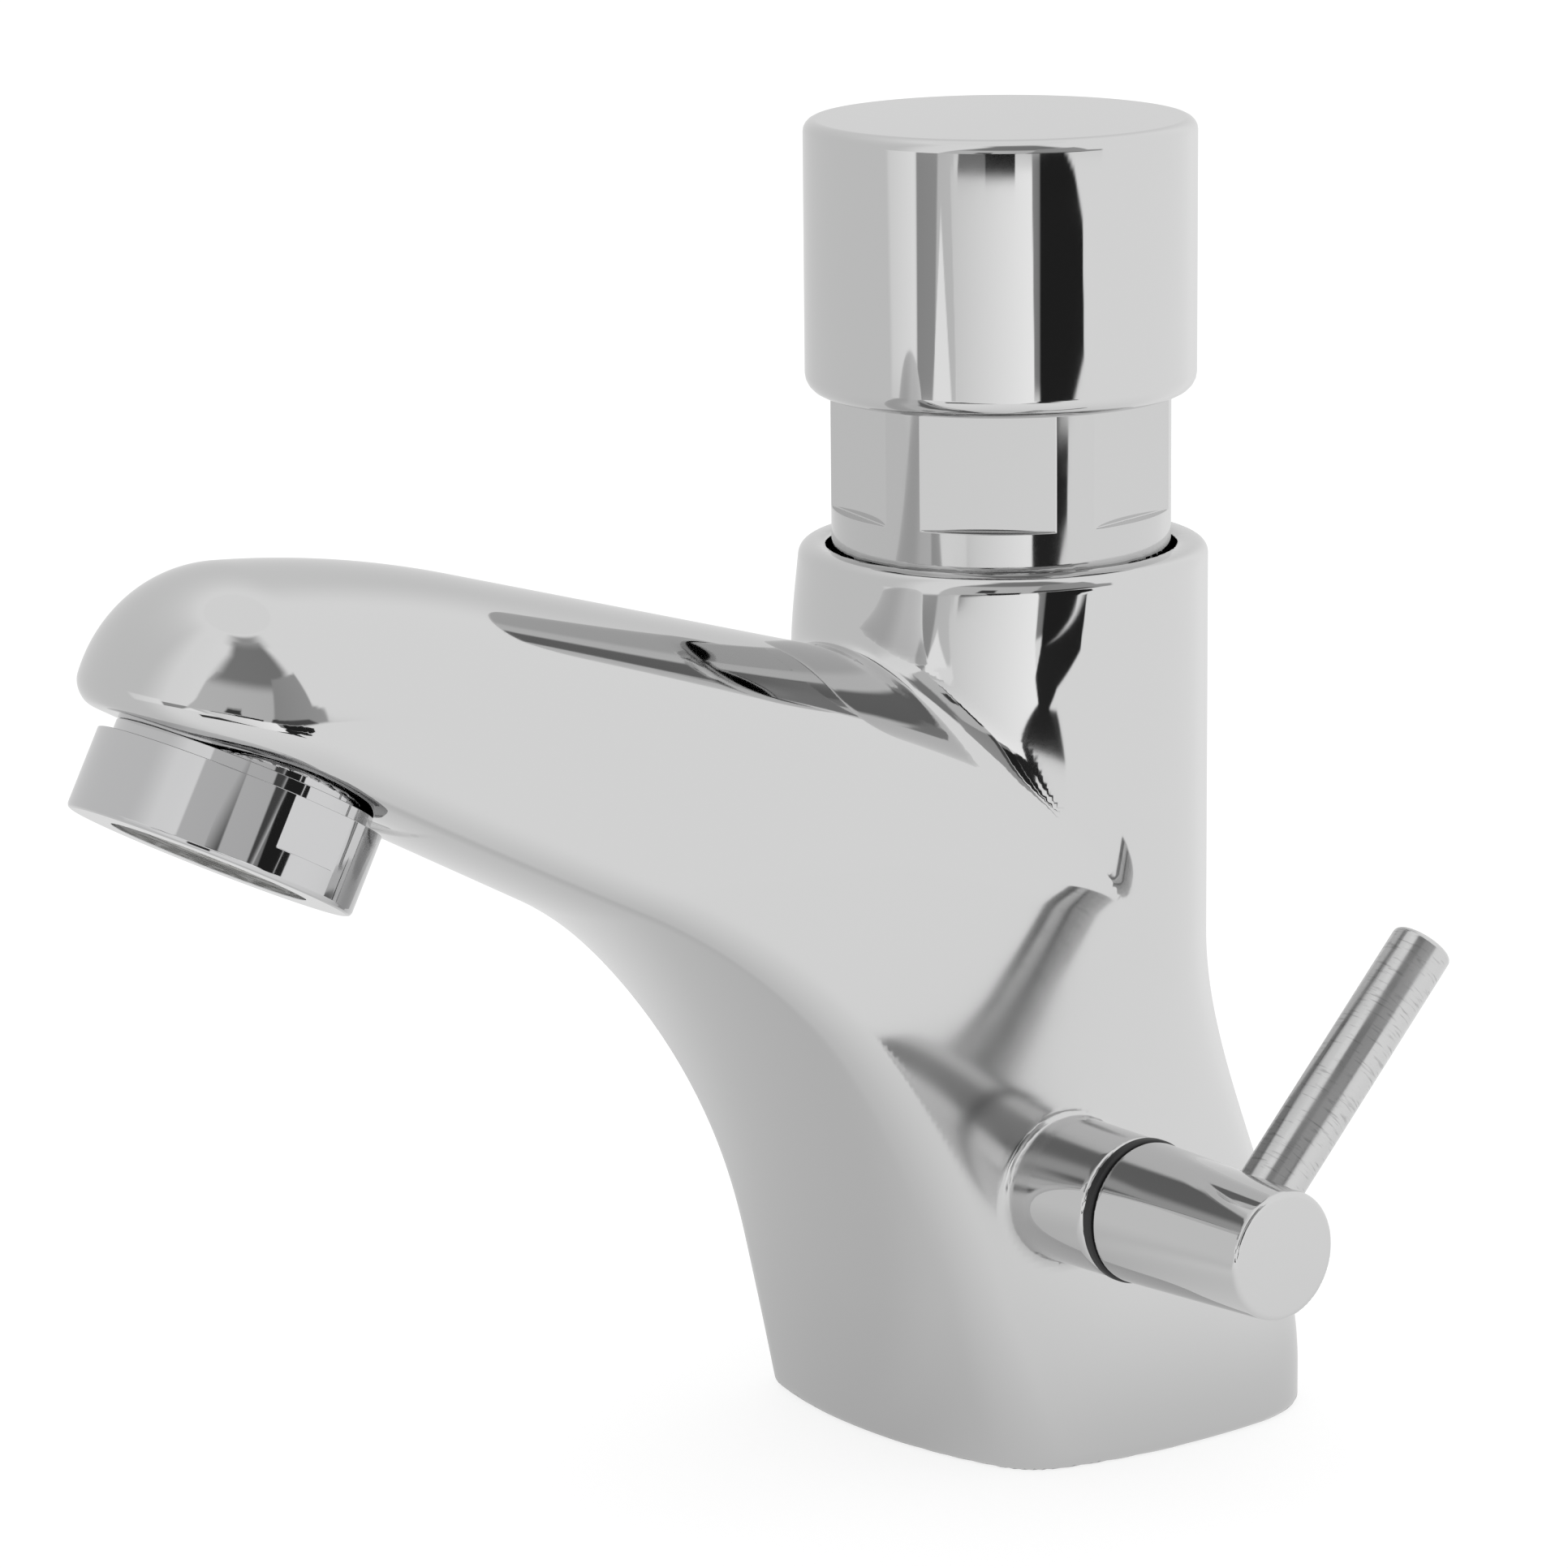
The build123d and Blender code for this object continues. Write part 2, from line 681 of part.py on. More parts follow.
push_cap.part.label = "push_cap"
export_step(push_cap.part, "parts/push_cap.step")


# Lock nut under the cap's boss
with BuildPart() as cap_lock_nut:
    with BuildSketch(Plane.XY.offset(cap_boss_bottom - cap_nut_height)):
        RegularPolygon(cap_nut_flats / 2.0, 6, major_radius=False)
        Circle(spindle_radius + running_fit, mode=Mode.SUBTRACT)
    extrude(amount=cap_nut_height)
cap_lock_nut.part.label = "cap_lock_nut"
export_step(cap_lock_nut.part, "parts/cap_lock_nut.step")


# Aerator housing: ring with two key flats, a neck and a threaded sleeve, turned about the outlet axis
ring_end = neck_height + housing_height
key_half_width = housing_radius - key_flat
former_length = housing_sleeve - screen_height + ring_end - housing_lip
with BuildPart() as aerator_housing:
    with BuildSketch(outlet_plane.offset(-housing_sleeve)):
        Circle(aerator_bore_radius - loose_fit)
    extrude(amount=housing_sleeve)
    with BuildSketch(outlet_plane):
        Circle(neck_radius)
    extrude(amount=neck_height)
    with BuildSketch(outlet_plane.offset(neck_height)):
        Circle(housing_radius)
    extrude(amount=housing_height)
    rim_edges = aerator_housing.edges().filter_by(GeomType.CIRCLE)
    fillet(rim_edges.sort_by(Axis((0, 0, 0), outlet_plane.z_dir))[-1:], housing_round)
    with BuildSketch(outlet_plane.offset(neck_height)):
        Circle(housing_radius + key_flat)
        Rectangle(2.0 * key_half_width, 4.0 * housing_radius, mode=Mode.SUBTRACT)
    extrude(amount=key_flat_height, mode=Mode.SUBTRACT)
    with BuildSketch(outlet_plane.offset(-housing_sleeve)):
        Circle(housing_bore)
    extrude(amount=housing_sleeve + ring_end - housing_lip, mode=Mode.SUBTRACT)
    with BuildSketch(outlet_plane.offset(ring_end - housing_lip)):
        Circle(housing_lip_radius)
    extrude(amount=housing_lip, mode=Mode.SUBTRACT)
aerator_housing.part.label = "aerator_housing"
export_step(aerator_housing.part, "parts/aerator_housing.step")


# Jet former: a plastic honeycomb cup inside the housing
with BuildPart() as jet_former:
    with BuildSketch(outlet_plane.offset(-housing_sleeve + screen_height)):
        Circle(housing_bore - loose_fit)
    extrude(amount=former_length)
    with BuildSketch(outlet_plane.offset(-housing_sleeve + screen_height)):
        Circle(housing_bore - loose_fit - jet_wall)
    extrude(amount=former_length - jet_grid_height, mode=Mode.SUBTRACT)
    with BuildSketch(outlet_plane.offset(ring_end - housing_lip - jet_grid_height)):
        with HexLocations(insert_cell_pitch, insert_cells, insert_cells, major_radius=False):
            RegularPolygon(insert_cell_radius, 6)
        Circle(housing_lip_radius - jet_wall, mode=Mode.INTERSECT)
    extrude(amount=jet_grid_height, mode=Mode.SUBTRACT)
jet_former.part.label = "jet_former"
export_step(jet_former.part, "parts/jet_former.step")


# Strainer screen over the jet former
with BuildPart() as aerator_screen:
    with BuildSketch(outlet_plane.offset(-housing_sleeve)):
        Circle(housing_bore - loose_fit)
    extrude(amount=screen_height)
aerator_screen.part.label = "aerator_screen"
export_step(aerator_screen.part, "parts/aerator_screen.step")


# Flat washer between the housing's sleeve and the end of its bore
with BuildPart() as aerator_washer:
    with BuildSketch(outlet_plane.offset(-housing_sleeve - aerator_washer_height)):
        Circle(aerator_bore_radius - loose_fit)
        Circle(aerator_washer_hole, mode=Mode.SUBTRACT)
    extrude(amount=aerator_washer_height)
aerator_washer.part.label = "aerator_washer"
export_step(aerator_washer.part, "parts/aerator_washer.step")


# Mixing spindle: a hollow plug with windows for hot, cold and mixed water, and the shaft for the knob
valve_plane = Plane.YZ
plug_windows = (
    (-port_x, -1),
    (port_x, -1),
    (0, 1),
)
with BuildPart() as mixing_spindle:
    with BuildSketch(valve_plane.offset(plug_start)):
        with Locations((valve_y, valve_z)):
            Circle(plug_radius)
    extrude(amount=plug_end - plug_start)
    with BuildSketch(valve_plane.offset(plug_end)):
        with Locations((valve_y, valve_z)):
            Circle(spindle_radius)
    extrude(amount=knob_bore_end - loose_fit - plug_end)
    for place in plug_seal_places:
        with BuildSketch(valve_plane.offset(place - plug_seal_width / 2.0)):
            with Locations((valve_y, valve_z)):
                Circle(valve_bore_radius)
                Circle(plug_radius - plug_seal_depth, mode=Mode.SUBTRACT)
        extrude(amount=plug_seal_width, mode=Mode.SUBTRACT)
    with BuildSketch(valve_plane.offset(plug_start)):
        with Locations((valve_y, valve_z)):
            Circle(plug_bore)
    extrude(amount=port_x + plug_window_radius - plug_start, mode=Mode.SUBTRACT)
    for place, side in plug_windows:
        window_plane = Plane(origin=(place, valve_y, valve_z), x_dir=(1, 0, 0), z_dir=(0, 0, side))
        with BuildSketch(window_plane):
            Circle(plug_window_radius)
        extrude(amount=valve_bore_radius, mode=Mode.SUBTRACT)
mixing_spindle.part.label = "mixing_spindle"
export_step(mixing_spindle.part, "parts/mixing_spindle.step")


# Seals in the plug's grooves
with BuildPart() as plug_seals:
    for place in plug_seal_places:
        with BuildSketch(valve_plane.offset(place - plug_seal_width / 2.0 + running_fit)):
            with Locations((valve_y, valve_z)):
                Circle(valve_bore_radius - running_fit)
                Circle(plug_radius - plug_seal_depth + running_fit, mode=Mode.SUBTRACT)
        extrude(amount=plug_seal_width - 2.0 * running_fit)
plug_seals.part.label = "plug_seals"
export_step(plug_seals.part, "parts/plug_seals.step")


# Gland nut that holds the plug in
with BuildPart() as gland_nut:
    with BuildSketch(valve_plane.offset(gland_start)):
        with Locations((valve_y, valve_z)):
            Circle(valve_bore_radius - loose_fit)
            Circle(spindle_radius + running_fit, mode=Mode.SUBTRACT)
    extrude(amount=boss_face - gland_start)
gland_nut.part.label = "gland_nut"
export_step(gland_nut.part, "parts/gland_nut.step")


# Black ring between the boss and the knob
with BuildPart() as knob_ring:
    with BuildSketch(valve_plane.offset(boss_face)):
        with Locations((valve_y, valve_z)):
            Circle(seal_ring_radius)
            Circle(spindle_radius + loose_fit, mode=Mode.SUBTRACT)
    extrude(amount=seal_ring_width)
    fillet(knob_ring.edges().filter_by(GeomType.CIRCLE).sort_by(SortBy.RADIUS)[-2:], seal_ring_round)
knob_ring.part.label = "knob_ring"
export_step(knob_ring.part, "parts/knob_ring.step")


# Temperature knob, slightly tapered, with a bore for the spindle and a seat for the lever
knob_start = boss_face + seal_ring_width + running_fit
lever_y = sin(radians(lever_lean))
lever_z = cos(radians(lever_lean))
lever_plane = Plane(origin=(lever_x, valve_y, valve_z), x_dir=(1, 0, 0), z_dir=(0, lever_y, lever_z))
with BuildPart() as temperature_knob:
    with BuildSketch(valve_plane.offset(knob_start)):
        with Locations((valve_y, valve_z)):
            Circle(knob_seam_radius)
    with BuildSketch(valve_plane.offset(knob_end)):
        with Locations((valve_y, valve_z)):
            Circle(knob_end_radius)
    loft()
    fillet(temperature_knob.edges().filter_by(GeomType.CIRCLE), knob_round)
    with BuildSketch(valve_plane.offset(knob_start)):
        with Locations((valve_y, valve_z)):
            Circle(spindle_radius + running_fit)
    extrude(amount=knob_bore_end - knob_start, mode=Mode.SUBTRACT)
    with BuildSketch(lever_plane.offset(lever_seat)):
        Circle(lever_radius + loose_fit)
    extrude(amount=knob_seam_radius, mode=Mode.SUBTRACT)
    with BuildSketch(lever_plane):
        Circle(lever_screw_radius + running_fit)
    extrude(amount=lever_seat, mode=Mode.SUBTRACT)
temperature_knob.part.label = "temperature_knob"
export_step(temperature_knob.part, "parts/temperature_knob.step")


# Lever rod: a plain rod whose screwed end clamps the knob to the spindle
with BuildPart() as lever_rod:
    with BuildSketch(lever_plane.offset(spindle_radius + running_fit)):
        Circle(lever_screw_radius)
    extrude(amount=lever_seat - spindle_radius - running_fit)
    with BuildSketch(lever_plane.offset(lever_seat)):
        Circle(lever_radius)
    extrude(amount=lever_reach - lever_seat)
    tip_edges = lever_rod.edges().filter_by(GeomType.CIRCLE)
    fillet(tip_edges.sort_by(Axis((0, 0, 0), lever_plane.z_dir))[-1:], lever_round)
lever_rod.part.label = "lever_rod"
export_step(lever_rod.part, "parts/lever_rod.step")
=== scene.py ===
# %% [markdown]
# # A push timed tap in polished chrome
# This lesson dresses a basin tap that was built as a CAD assembly. The CAD model already has every
# piece at its real size and place, so nothing is moved here. Chrome is the hard part: it shows every
# ripple of a surface, so each visible piece is made again as a dense mesh with exact normals.

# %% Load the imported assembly
import json
import math

import bmesh
import bpy
import numpy as np
from mathutils import Matrix, Vector


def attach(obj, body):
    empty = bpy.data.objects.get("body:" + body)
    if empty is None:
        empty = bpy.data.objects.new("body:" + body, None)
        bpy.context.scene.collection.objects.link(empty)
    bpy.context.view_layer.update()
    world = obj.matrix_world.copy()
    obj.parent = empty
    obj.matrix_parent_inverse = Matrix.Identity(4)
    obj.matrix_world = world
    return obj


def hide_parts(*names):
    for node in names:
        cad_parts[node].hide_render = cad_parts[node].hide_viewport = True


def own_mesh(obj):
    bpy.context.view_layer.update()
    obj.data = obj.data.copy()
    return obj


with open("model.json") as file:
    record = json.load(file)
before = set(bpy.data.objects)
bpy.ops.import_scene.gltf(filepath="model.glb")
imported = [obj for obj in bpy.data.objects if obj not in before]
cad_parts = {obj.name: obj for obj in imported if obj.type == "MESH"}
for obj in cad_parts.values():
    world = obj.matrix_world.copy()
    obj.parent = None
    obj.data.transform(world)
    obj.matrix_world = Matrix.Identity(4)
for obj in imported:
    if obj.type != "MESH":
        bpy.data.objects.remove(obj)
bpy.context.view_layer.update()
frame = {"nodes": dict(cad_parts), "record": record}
MM = 0.001

# %% [markdown]
# ## Camera
# The photograph was taken from the tap's front right, a little above it, with a long lens. The
# viewpoint was solved from the round outlines of the cap, the column, the aerator and the knob.

# %% Camera
CAMERA_AZIMUTH = math.radians(50.889)
CAMERA_ELEVATION = math.radians(12.827)
CAMERA_ROLL = math.radians(-0.576)
CAMERA_DISTANCE = 662.772 * MM
CAMERA_AIM_HEIGHT = 66.652 * MM
CAMERA_ASIDE = -22.52 * MM
CAMERA_LIFT = -0.124 * MM
PHOTO_SIDE = 1932
FOCAL_PIXELS = 7892.341
SENSOR = 36.0


def view_axes(azimuth, elevation):
    """Right, up and back of a camera that looks at the tap from that direction."""
    back = Vector((
        math.sin(azimuth) * math.cos(elevation),
        -math.cos(azimuth) * math.cos(elevation),
        math.sin(elevation),
    ))
    right = Vector((math.cos(azimuth), math.sin(azimuth), 0.0))
    return right, back.cross(right), back


right, up, back = view_axes(CAMERA_AZIMUTH, CAMERA_ELEVATION)
aim = Vector((0.0, 0.0, CAMERA_AIM_HEIGHT)) + right * CAMERA_ASIDE + up * CAMERA_LIFT
rolled_right = right * math.cos(CAMERA_ROLL) + up * math.sin(CAMERA_ROLL)
rolled_up = up * math.cos(CAMERA_ROLL) - right * math.sin(CAMERA_ROLL)
lens = bpy.data.cameras.new("photo_camera")
lens.sensor_width = SENSOR
lens.lens = FOCAL_PIXELS / PHOTO_SIDE * SENSOR
lens.clip_start = 0.01
lens.clip_end = 20.0
camera = bpy.data.objects.new("photo_camera", lens)
bpy.context.scene.collection.objects.link(camera)
pose = Matrix((rolled_right, rolled_up, back)).transposed().to_4x4()
pose.translation = aim + back * CAMERA_DISTANCE
camera.matrix_world = pose
bpy.context.scene.camera = camera
print("lens", round(lens.lens, 1), "mm, camera at", [round(v, 3) for v in pose.translation])

# %% [markdown]
# ## Turning a shape rule into a mesh
# The cast body is a few simple forms that flow into each other: a column, an arched spout, a square
# foot, a small boss. A height field or a lathe can't hold all of them, and subdivision modelling
# leaves ripples that chrome would show. So the body is written as one rule that says how far any
# point lies outside the metal. A surface net finds where the rule is zero, and each point is then slid
# onto the exact surface. The normals come from the rule too, taken over a longer reach where the
# surface bends gently, so that the reflection in a rounded edge starts softly and has fewer teeth.


# %% Joining and cutting forms with a rounded edge
def smooth_step(share):
    """Smooth rise from 0 to 1 as the share goes from 0 to 1, and level outside."""
    share = np.clip(share, 0.0, 1.0)
    return share * share * (3.0 - 2.0 * share)


def rounded_cut(a, b, radius):
    """What is inside both a and b, with its outer edge rounded."""
    corner = np.hypot(np.maximum(a + radius, 0.0), np.maximum(b + radius, 0.0))
    return np.minimum(np.maximum(a, b), -radius) + corner


def soft_join(a, b, width):
    """What is inside a or b, with the valley between them filled where they differ by less than width."""
    near = np.maximum(width - np.abs(a - b), 0.0)
    return np.minimum(a, b) - near * near / (4.0 * width)


def rounded_join(a, b, radius):
    """What is inside a or b, with a fillet in its inner edge."""
    corner = np.hypot(np.maximum(radius - a, 0.0), np.maximum(radius - b, 0.0))
    return np.maximum(np.minimum(a, b), radius) - corner


def slope(rule, points, reach=0.01):
    """Gradient of a rule at each point."""
    result = np.empty_like(points)
    for axis in range(3):
        step = np.zeros(3)
        step[axis] = reach
        ahead = rule(*(points + step).T)
        behind = rule(*(points - step).T)
        result[:, axis] = (ahead - behind) / (2.0 * reach)
    return result


def slide_onto(rule, points, rounds, longest):
    """Move points along the gradient until the rule is zero there."""
    for _ in range(rounds):
        gradient = slope(rule, points)
        length = np.maximum((gradient ** 2).sum(1), 0.05)
        move = (rule(*points.T) / length)[:, None] * gradient
        size = np.sqrt((move ** 2).sum(1))[:, None]
        points = points - move * np.minimum(1.0, longest / np.maximum(size, 1e-9))
    return points


# %% Surface net
def grid_lines(low, high, step, fine):
    """Grid coordinates along one axis, three times as close in the fine span."""
    coarse = np.arange(low, high + step, step)
    between = coarse[(coarse >= fine[0]) & (coarse < fine[1])]
    return np.sort(np.concatenate([coarse, between + step / 3.0, between + step * 2.0 / 3.0]))


def surface_net(rule, lines):
    """Quads round the zero surface of a rule, one vertex in each grid cell that it crosses."""
    counts = np.array([len(line) for line in lines])
    values = np.empty(counts)
    for i, x in enumerate(lines[0]):
        y, z = np.meshgrid(lines[1], lines[2], indexing="ij")
        values[i] = rule(np.full_like(y, x), y, z)
    cells = counts - 1
    total = np.zeros(tuple(cells) + (3,))
    hits = np.zeros(tuple(cells))
    crossings = []
    for axis in range(3):
        first = np.take(values, range(counts[axis] - 1), axis)
        second = np.take(values, range(1, counts[axis]), axis)
        crossed = (first < 0.0) != (second < 0.0)
        where = np.argwhere(crossed)
        a = first[crossed]
        share = a / (a - second[crossed])
        spot = where.astype(float)
        spot[:, axis] += share
        others = [k for k in range(3) if k != axis]
        for back_a in (0, 1):
            for back_b in (0, 1):
                cell = where.copy()
                cell[:, others[0]] -= back_a
                cell[:, others[1]] -= back_b
                ok = ((cell >= 0) & (cell < cells)).all(1)
                flat = np.ravel_multi_index(cell[ok].T, tuple(cells))
                np.add.at(hits.reshape(-1), flat, 1.0)
                np.add.at(total.reshape(-1, 3), flat, spot[ok])
        crossings.append((axis, others, where, a < 0.0))
    active = hits > 0
    number = np.full(hits.shape, -1)
    number[active] = np.arange(active.sum())
    places = total[active] / hits[active][:, None]
    points = np.stack([np.interp(places[:, k], np.arange(counts[k]), lines[k]) for k in range(3)], 1)
    quads = []
    for axis, others, where, leaving in crossings:
        ring = []
        for back_a, back_b in ((0, 0), (1, 0), (1, 1), (0, 1)):
            cell = where.copy()
            cell[:, others[0]] -= back_a
            cell[:, others[1]] -= back_b
            ring.append(number[tuple(cell.T)])
        ring = np.stack(ring, 1)
        flip = leaving if axis != 1 else ~leaving
        ring[~flip] = ring[~flip][:, ::-1]
        quads.append(ring)
    return points, np.concatenate(quads)


# %% Evening out the net and making the mesh
# an edge is tight below the first cosine of the turn from the near to the wide normal, and gentle
# above the second
TIGHT = 0.93
GENTLE = 0.98
EVENING_ROUNDS = 3
EVENING_SHARE = 0.6
TINY = 1e-12


def unit(vectors):
    """Vectors of length one."""
    return vectors / (np.linalg.norm(vectors, axis=1)[:, None] + TINY)


def even_out(rule, points, quads, longest):
    """Slide points along the surface towards the middle of their neighbours."""
    a = quads.ravel()
    b = np.roll(quads, -1, 1).ravel()
    ends = np.concatenate([a, b])
    others = np.concatenate([b, a])
    count = np.bincount(ends, minlength=len(points))[:, None]
    for _ in range(EVENING_ROUNDS):
        middle = np.stack(
            [np.bincount(ends, points[others, axis], len(points)) for axis in range(3)], 1
        ) / count
        normal = unit(slope(rule, points))
        move = middle - points
        move -= (move * normal).sum(1)[:, None] * normal
        points = slide_onto(rule, points + EVENING_SHARE * move, 2, longest)
    return points


def mesh_object(name, points, faces, normals=None):
    """Object from points in millimetres. Faces may have any number of corners."""
    mesh = bpy.data.meshes.new(name)
    mesh.from_pydata((np.asarray(points) * MM).tolist(), [], [list(map(int, f)) for f in faces])
    mesh.validate()
    mesh.shade_smooth()
    if normals is not None:
        mesh.normals_split_custom_set_from_vertices(np.asarray(normals).tolist())
    piece = bpy.data.objects.new(name, mesh)
    bpy.context.scene.collection.objects.link(piece)
    return piece


def eased_normals(rule, points, reach):
    """Normals taken over a longer reach where the surface bends gently, so that a round starts softly."""
    near = unit(slope(rule, points))
    wide = unit(slope(rule, points, reach))
    gentle = smooth_step(((near * wide).sum(1) - TIGHT) / (GENTLE - TIGHT))[:, None]
    return unit(near + (wide - near) * gentle)


NOT_FINE = (0.0, 0.0)


def piece_from_rule(name, rule, low, high, step, fine=NOT_FINE):
    """Dense mesh of a rule's surface with the rule's own normals, closer in height in the fine span."""
    lines = [grid_lines(low[k], high[k], step, fine if k == 2 else NOT_FINE) for k in range(3)]
    points, quads = surface_net(rule, lines)
    points = slide_onto(rule, points, 4, step / 2.0)
    points = even_out(rule, points, quads, step / 2.0)
    points = slide_onto(rule, points, 3, step / 2.0)
    normals = eased_normals(rule, points, step)
    print(name, len(points), "points", len(quads), "quads")
    return mesh_object(name, points, quads, normals)


# %% [markdown]
# ## The cast body
# These are the same driving sizes as the CAD body has, in millimetres. The spout is an arch that
# narrows and rises towards a round nose. The column flares into a square foot. One crowned sheet
# cuts the front of the foot and runs on as the underside of the spout.

# %% Sizes of the body
COLUMN = 21.2
COLLAR_TOP = 92.0
COLLAR_LIP = 1.2
LEAN_LOW = 0.65
LEAN_SLOPE = 0.144
LEAN_FROM = 77.0
LEAN_FULL = 89.0
LEAN_FADE_FROM = 60.0
LEAN_FADE = 20.0
VALLEY = 2.6
VALLEY_FROM = 66.0
VALLEY_FADE_UP = 10.0
VALLEY_FADE_AHEAD = 6.0
VALLEY_LEAST = 0.001
FLARE_TOP = 51.0
FLARE_BOTTOM = 4.0
FOOT_HALF = 25.2
FOOT_WIDEST = 7.0
FOOT_DEPTH = 19.9
FOOT_SQUARENESS = 3.4
FOOT_TAPER = 0.0082
REACH = 95.3
SPOUT_ROOT = 19.6
NARROW_FROM = 66.0
NARROW_FULL = 82.0
NOSE = 15.2
TOP_HEIGHT = 77.2
TOP_SLOPE = 0.29
DROOP_START = 70.0
DROOP_RADIUS = 112.7
FRONT_FOOT = -19.0
FRONT_ANGLE = math.radians(75.5)
UNDER_ANGLE = math.radians(28.3)
FRONT_BEND = 72.0
FRONT_CROWN = 58.0
OUTLET = (-94.2, 82.0)
OUTLET_BACK = 14.9
OUTLET_DROP = 0.5
OUTLET_ROUND = 0.35
EDGE_ROUND = 2.4
EDGE_ADDED_AT_FOOT = 0.8
EDGE_ADDED_BELOW = 22.0
BOTTOM_ROUND = 0.8
VALVE = (-10.0, 29.6)
BOSS_START = 16.0
BOSS_FACE = 31.9
BOSS_RADIUS = 7.55
BOSS_TAPER = 0.3
BOSS_ROUND = 0.3
BOSS_FILLET = 0.5


# %% Side, top and nose
def spout_half_width(y, z):
    """Half the spout's width, which shrinks from the column to the nose."""
    narrowed = smooth_step((z - NARROW_FROM) / (NARROW_FULL - NARROW_FROM))
    root = COLUMN + (SPOUT_ROOT - COLUMN) * narrowed
    return root + (NOSE - root) * smooth_step(-y / REACH)


def spout_spring(y, half_width):
    """Height at which the spout's upright side turns into its arch."""
    rise = TOP_HEIGHT - TOP_SLOPE * y
    past = np.maximum(-y - DROOP_START, 0.0)
    return rise - past * past / (2.0 * DROOP_RADIUS) - half_width


def collar_lean(z):
    """How far the front of the column stands out of a true round, less and less towards the lip."""
    share = np.clip((z - LEAN_FROM) / (LEAN_FULL - LEAN_FROM), 0.0, 1.0)
    drawn_in = (LEAN_FULL - LEAN_FROM) * (share ** 3 - share ** 4 / 2.0)
    drawn_in = drawn_in + np.maximum(z - LEAN_FULL, 0.0)
    return (LEAN_LOW - LEAN_SLOPE * drawn_in) * smooth_step((z - LEAN_FADE_FROM) / LEAN_FADE)


def outer_skin(x, y, z):
    """Column, flare and arched spout, before the underside is cut."""
    grown = smooth_step((FLARE_TOP - z) / (FLARE_TOP - FLARE_BOTTOM))
    radius = np.hypot(x, y)
    share_x = np.abs(x) / FOOT_HALF
    share_y = np.maximum(y - FOOT_WIDEST, 0.0) / FOOT_DEPTH
    squared = (share_x ** FOOT_SQUARENESS + share_y ** FOOT_SQUARENESS) ** (1.0 / FOOT_SQUARENESS)
    before = np.maximum(FOOT_WIDEST - y, 0.0)
    foot = (squared - 1.0) * FOOT_HALF + FOOT_TAPER * before ** 2
    rear = (1.0 - grown) * (radius - COLUMN) + grown * foot
    rear = rounded_cut(rear, z - COLLAR_TOP, COLLAR_LIP)

    ahead = np.minimum(y, 0.0)
    half_width = spout_half_width(ahead, z)
    above = np.maximum(z - spout_spring(ahead, half_width), 0.0)
    past_nose = np.minimum(ahead + REACH, 0.0)
    arch = np.sqrt(x * x + above * above + past_nose * past_nose)
    spout = (1.0 - grown) * (arch - half_width) + grown * foot

    column = (1.0 - grown) * (radius - COLUMN - collar_lean(z) * -ahead / COLUMN) + grown * foot
    column = rounded_cut(column, z - COLLAR_TOP, COLLAR_LIP)
    upwards = smooth_step((z - VALLEY_FROM) / VALLEY_FADE_UP)
    forwards = smooth_step(-ahead / VALLEY_FADE_AHEAD)
    front = soft_join(spout, column, VALLEY * upwards * forwards + VALLEY_LEAST)
    return np.where(y < 0.0, front, rear)


# %% Underside
STEEP = (math.sin(FRONT_ANGLE), math.cos(FRONT_ANGLE))
SHALLOW = (math.sin(UNDER_ANGLE), math.cos(UNDER_ANGLE))
under_y = OUTLET[0] + OUTLET_BACK * SHALLOW[1]
under_z = OUTLET[1] - OUTLET_BACK * SHALLOW[0] - OUTLET_DROP / SHALLOW[1]
steep_offset = FRONT_FOOT * STEEP[0]
shallow_offset = under_y * SHALLOW[0] + under_z * SHALLOW[1]
centre = np.linalg.solve([STEEP, SHALLOW], [steep_offset - FRONT_BEND, shallow_offset - FRONT_BEND])
print("bend centre", centre.round(2))


def underside(x, y, z):
    """How far a point lies in front of or below the crowned sheet."""
    away_y = y - centre[0]
    away_z = z - centre[1]
    on_steep = y * STEEP[0] + z * STEEP[1] - steep_offset
    on_shallow = y * SHALLOW[0] + z * SHALLOW[1] - shallow_offset
    on_bend = np.hypot(away_y, away_z) - FRONT_BEND
    before = -away_y * STEEP[1] + away_z * STEEP[0] < 0.0
    after = -away_y * SHALLOW[1] + away_z * SHALLOW[0] > 0.0
    inside = np.where(before, on_steep, np.where(after, on_shallow, on_bend))
    crown = FRONT_CROWN - np.sqrt(np.maximum(FRONT_CROWN ** 2 - x * x, 1.0))
    return crown - inside


# %% Sizes of the bores and the recess
# bores down the column as (radius, height of the floor), widest first
MOUTH_BORES = ((18.0, 86.0), (16.0, 74.0), (14.5, 60.6))
MOUTH_ROUND = 0.35
VALVE_BORE = 5.2
VALVE_BORE_END = -15.0
AERATOR_BORE = 11.6
AERATOR_DEPTH = 9.0
RECESS_HALF_X = 16.5
RECESS_HALF_Y = 16.0
RECESS_MIDDLE = 3.0
RECESS_ROUND = 6.0
RECESS_TOP = 11.0
STUD_BOSS = 6.0
STUD_HOLE = 3.4
STUD_HOLE_TOP = 16.0
INLET = 4.5
INLET_ASIDE = 9.5
INLET_AHEAD = 7.5
INLET_TOP = 21.0
GROOVE_OUT = 2.8
GROOVE_HALF = 1.0
GROOVE_DEPTH = 1.5


# %% Bores, recess and the whole body
def outlet_axes(y, z):
    """Place along the outlet face, and height out of it."""
    along = -(y - OUTLET[0]) * SHALLOW[1] + (z - OUTLET[1]) * SHALLOW[0]
    out = -(y - OUTLET[0]) * SHALLOW[0] - (z - OUTLET[1]) * SHALLOW[1]
    return along, out


def bore(radius, a, b, past_end):
    """Round hole about the place where a and b are zero, as far as past_end is below zero."""
    return np.maximum(np.hypot(a, b) - radius, past_end)


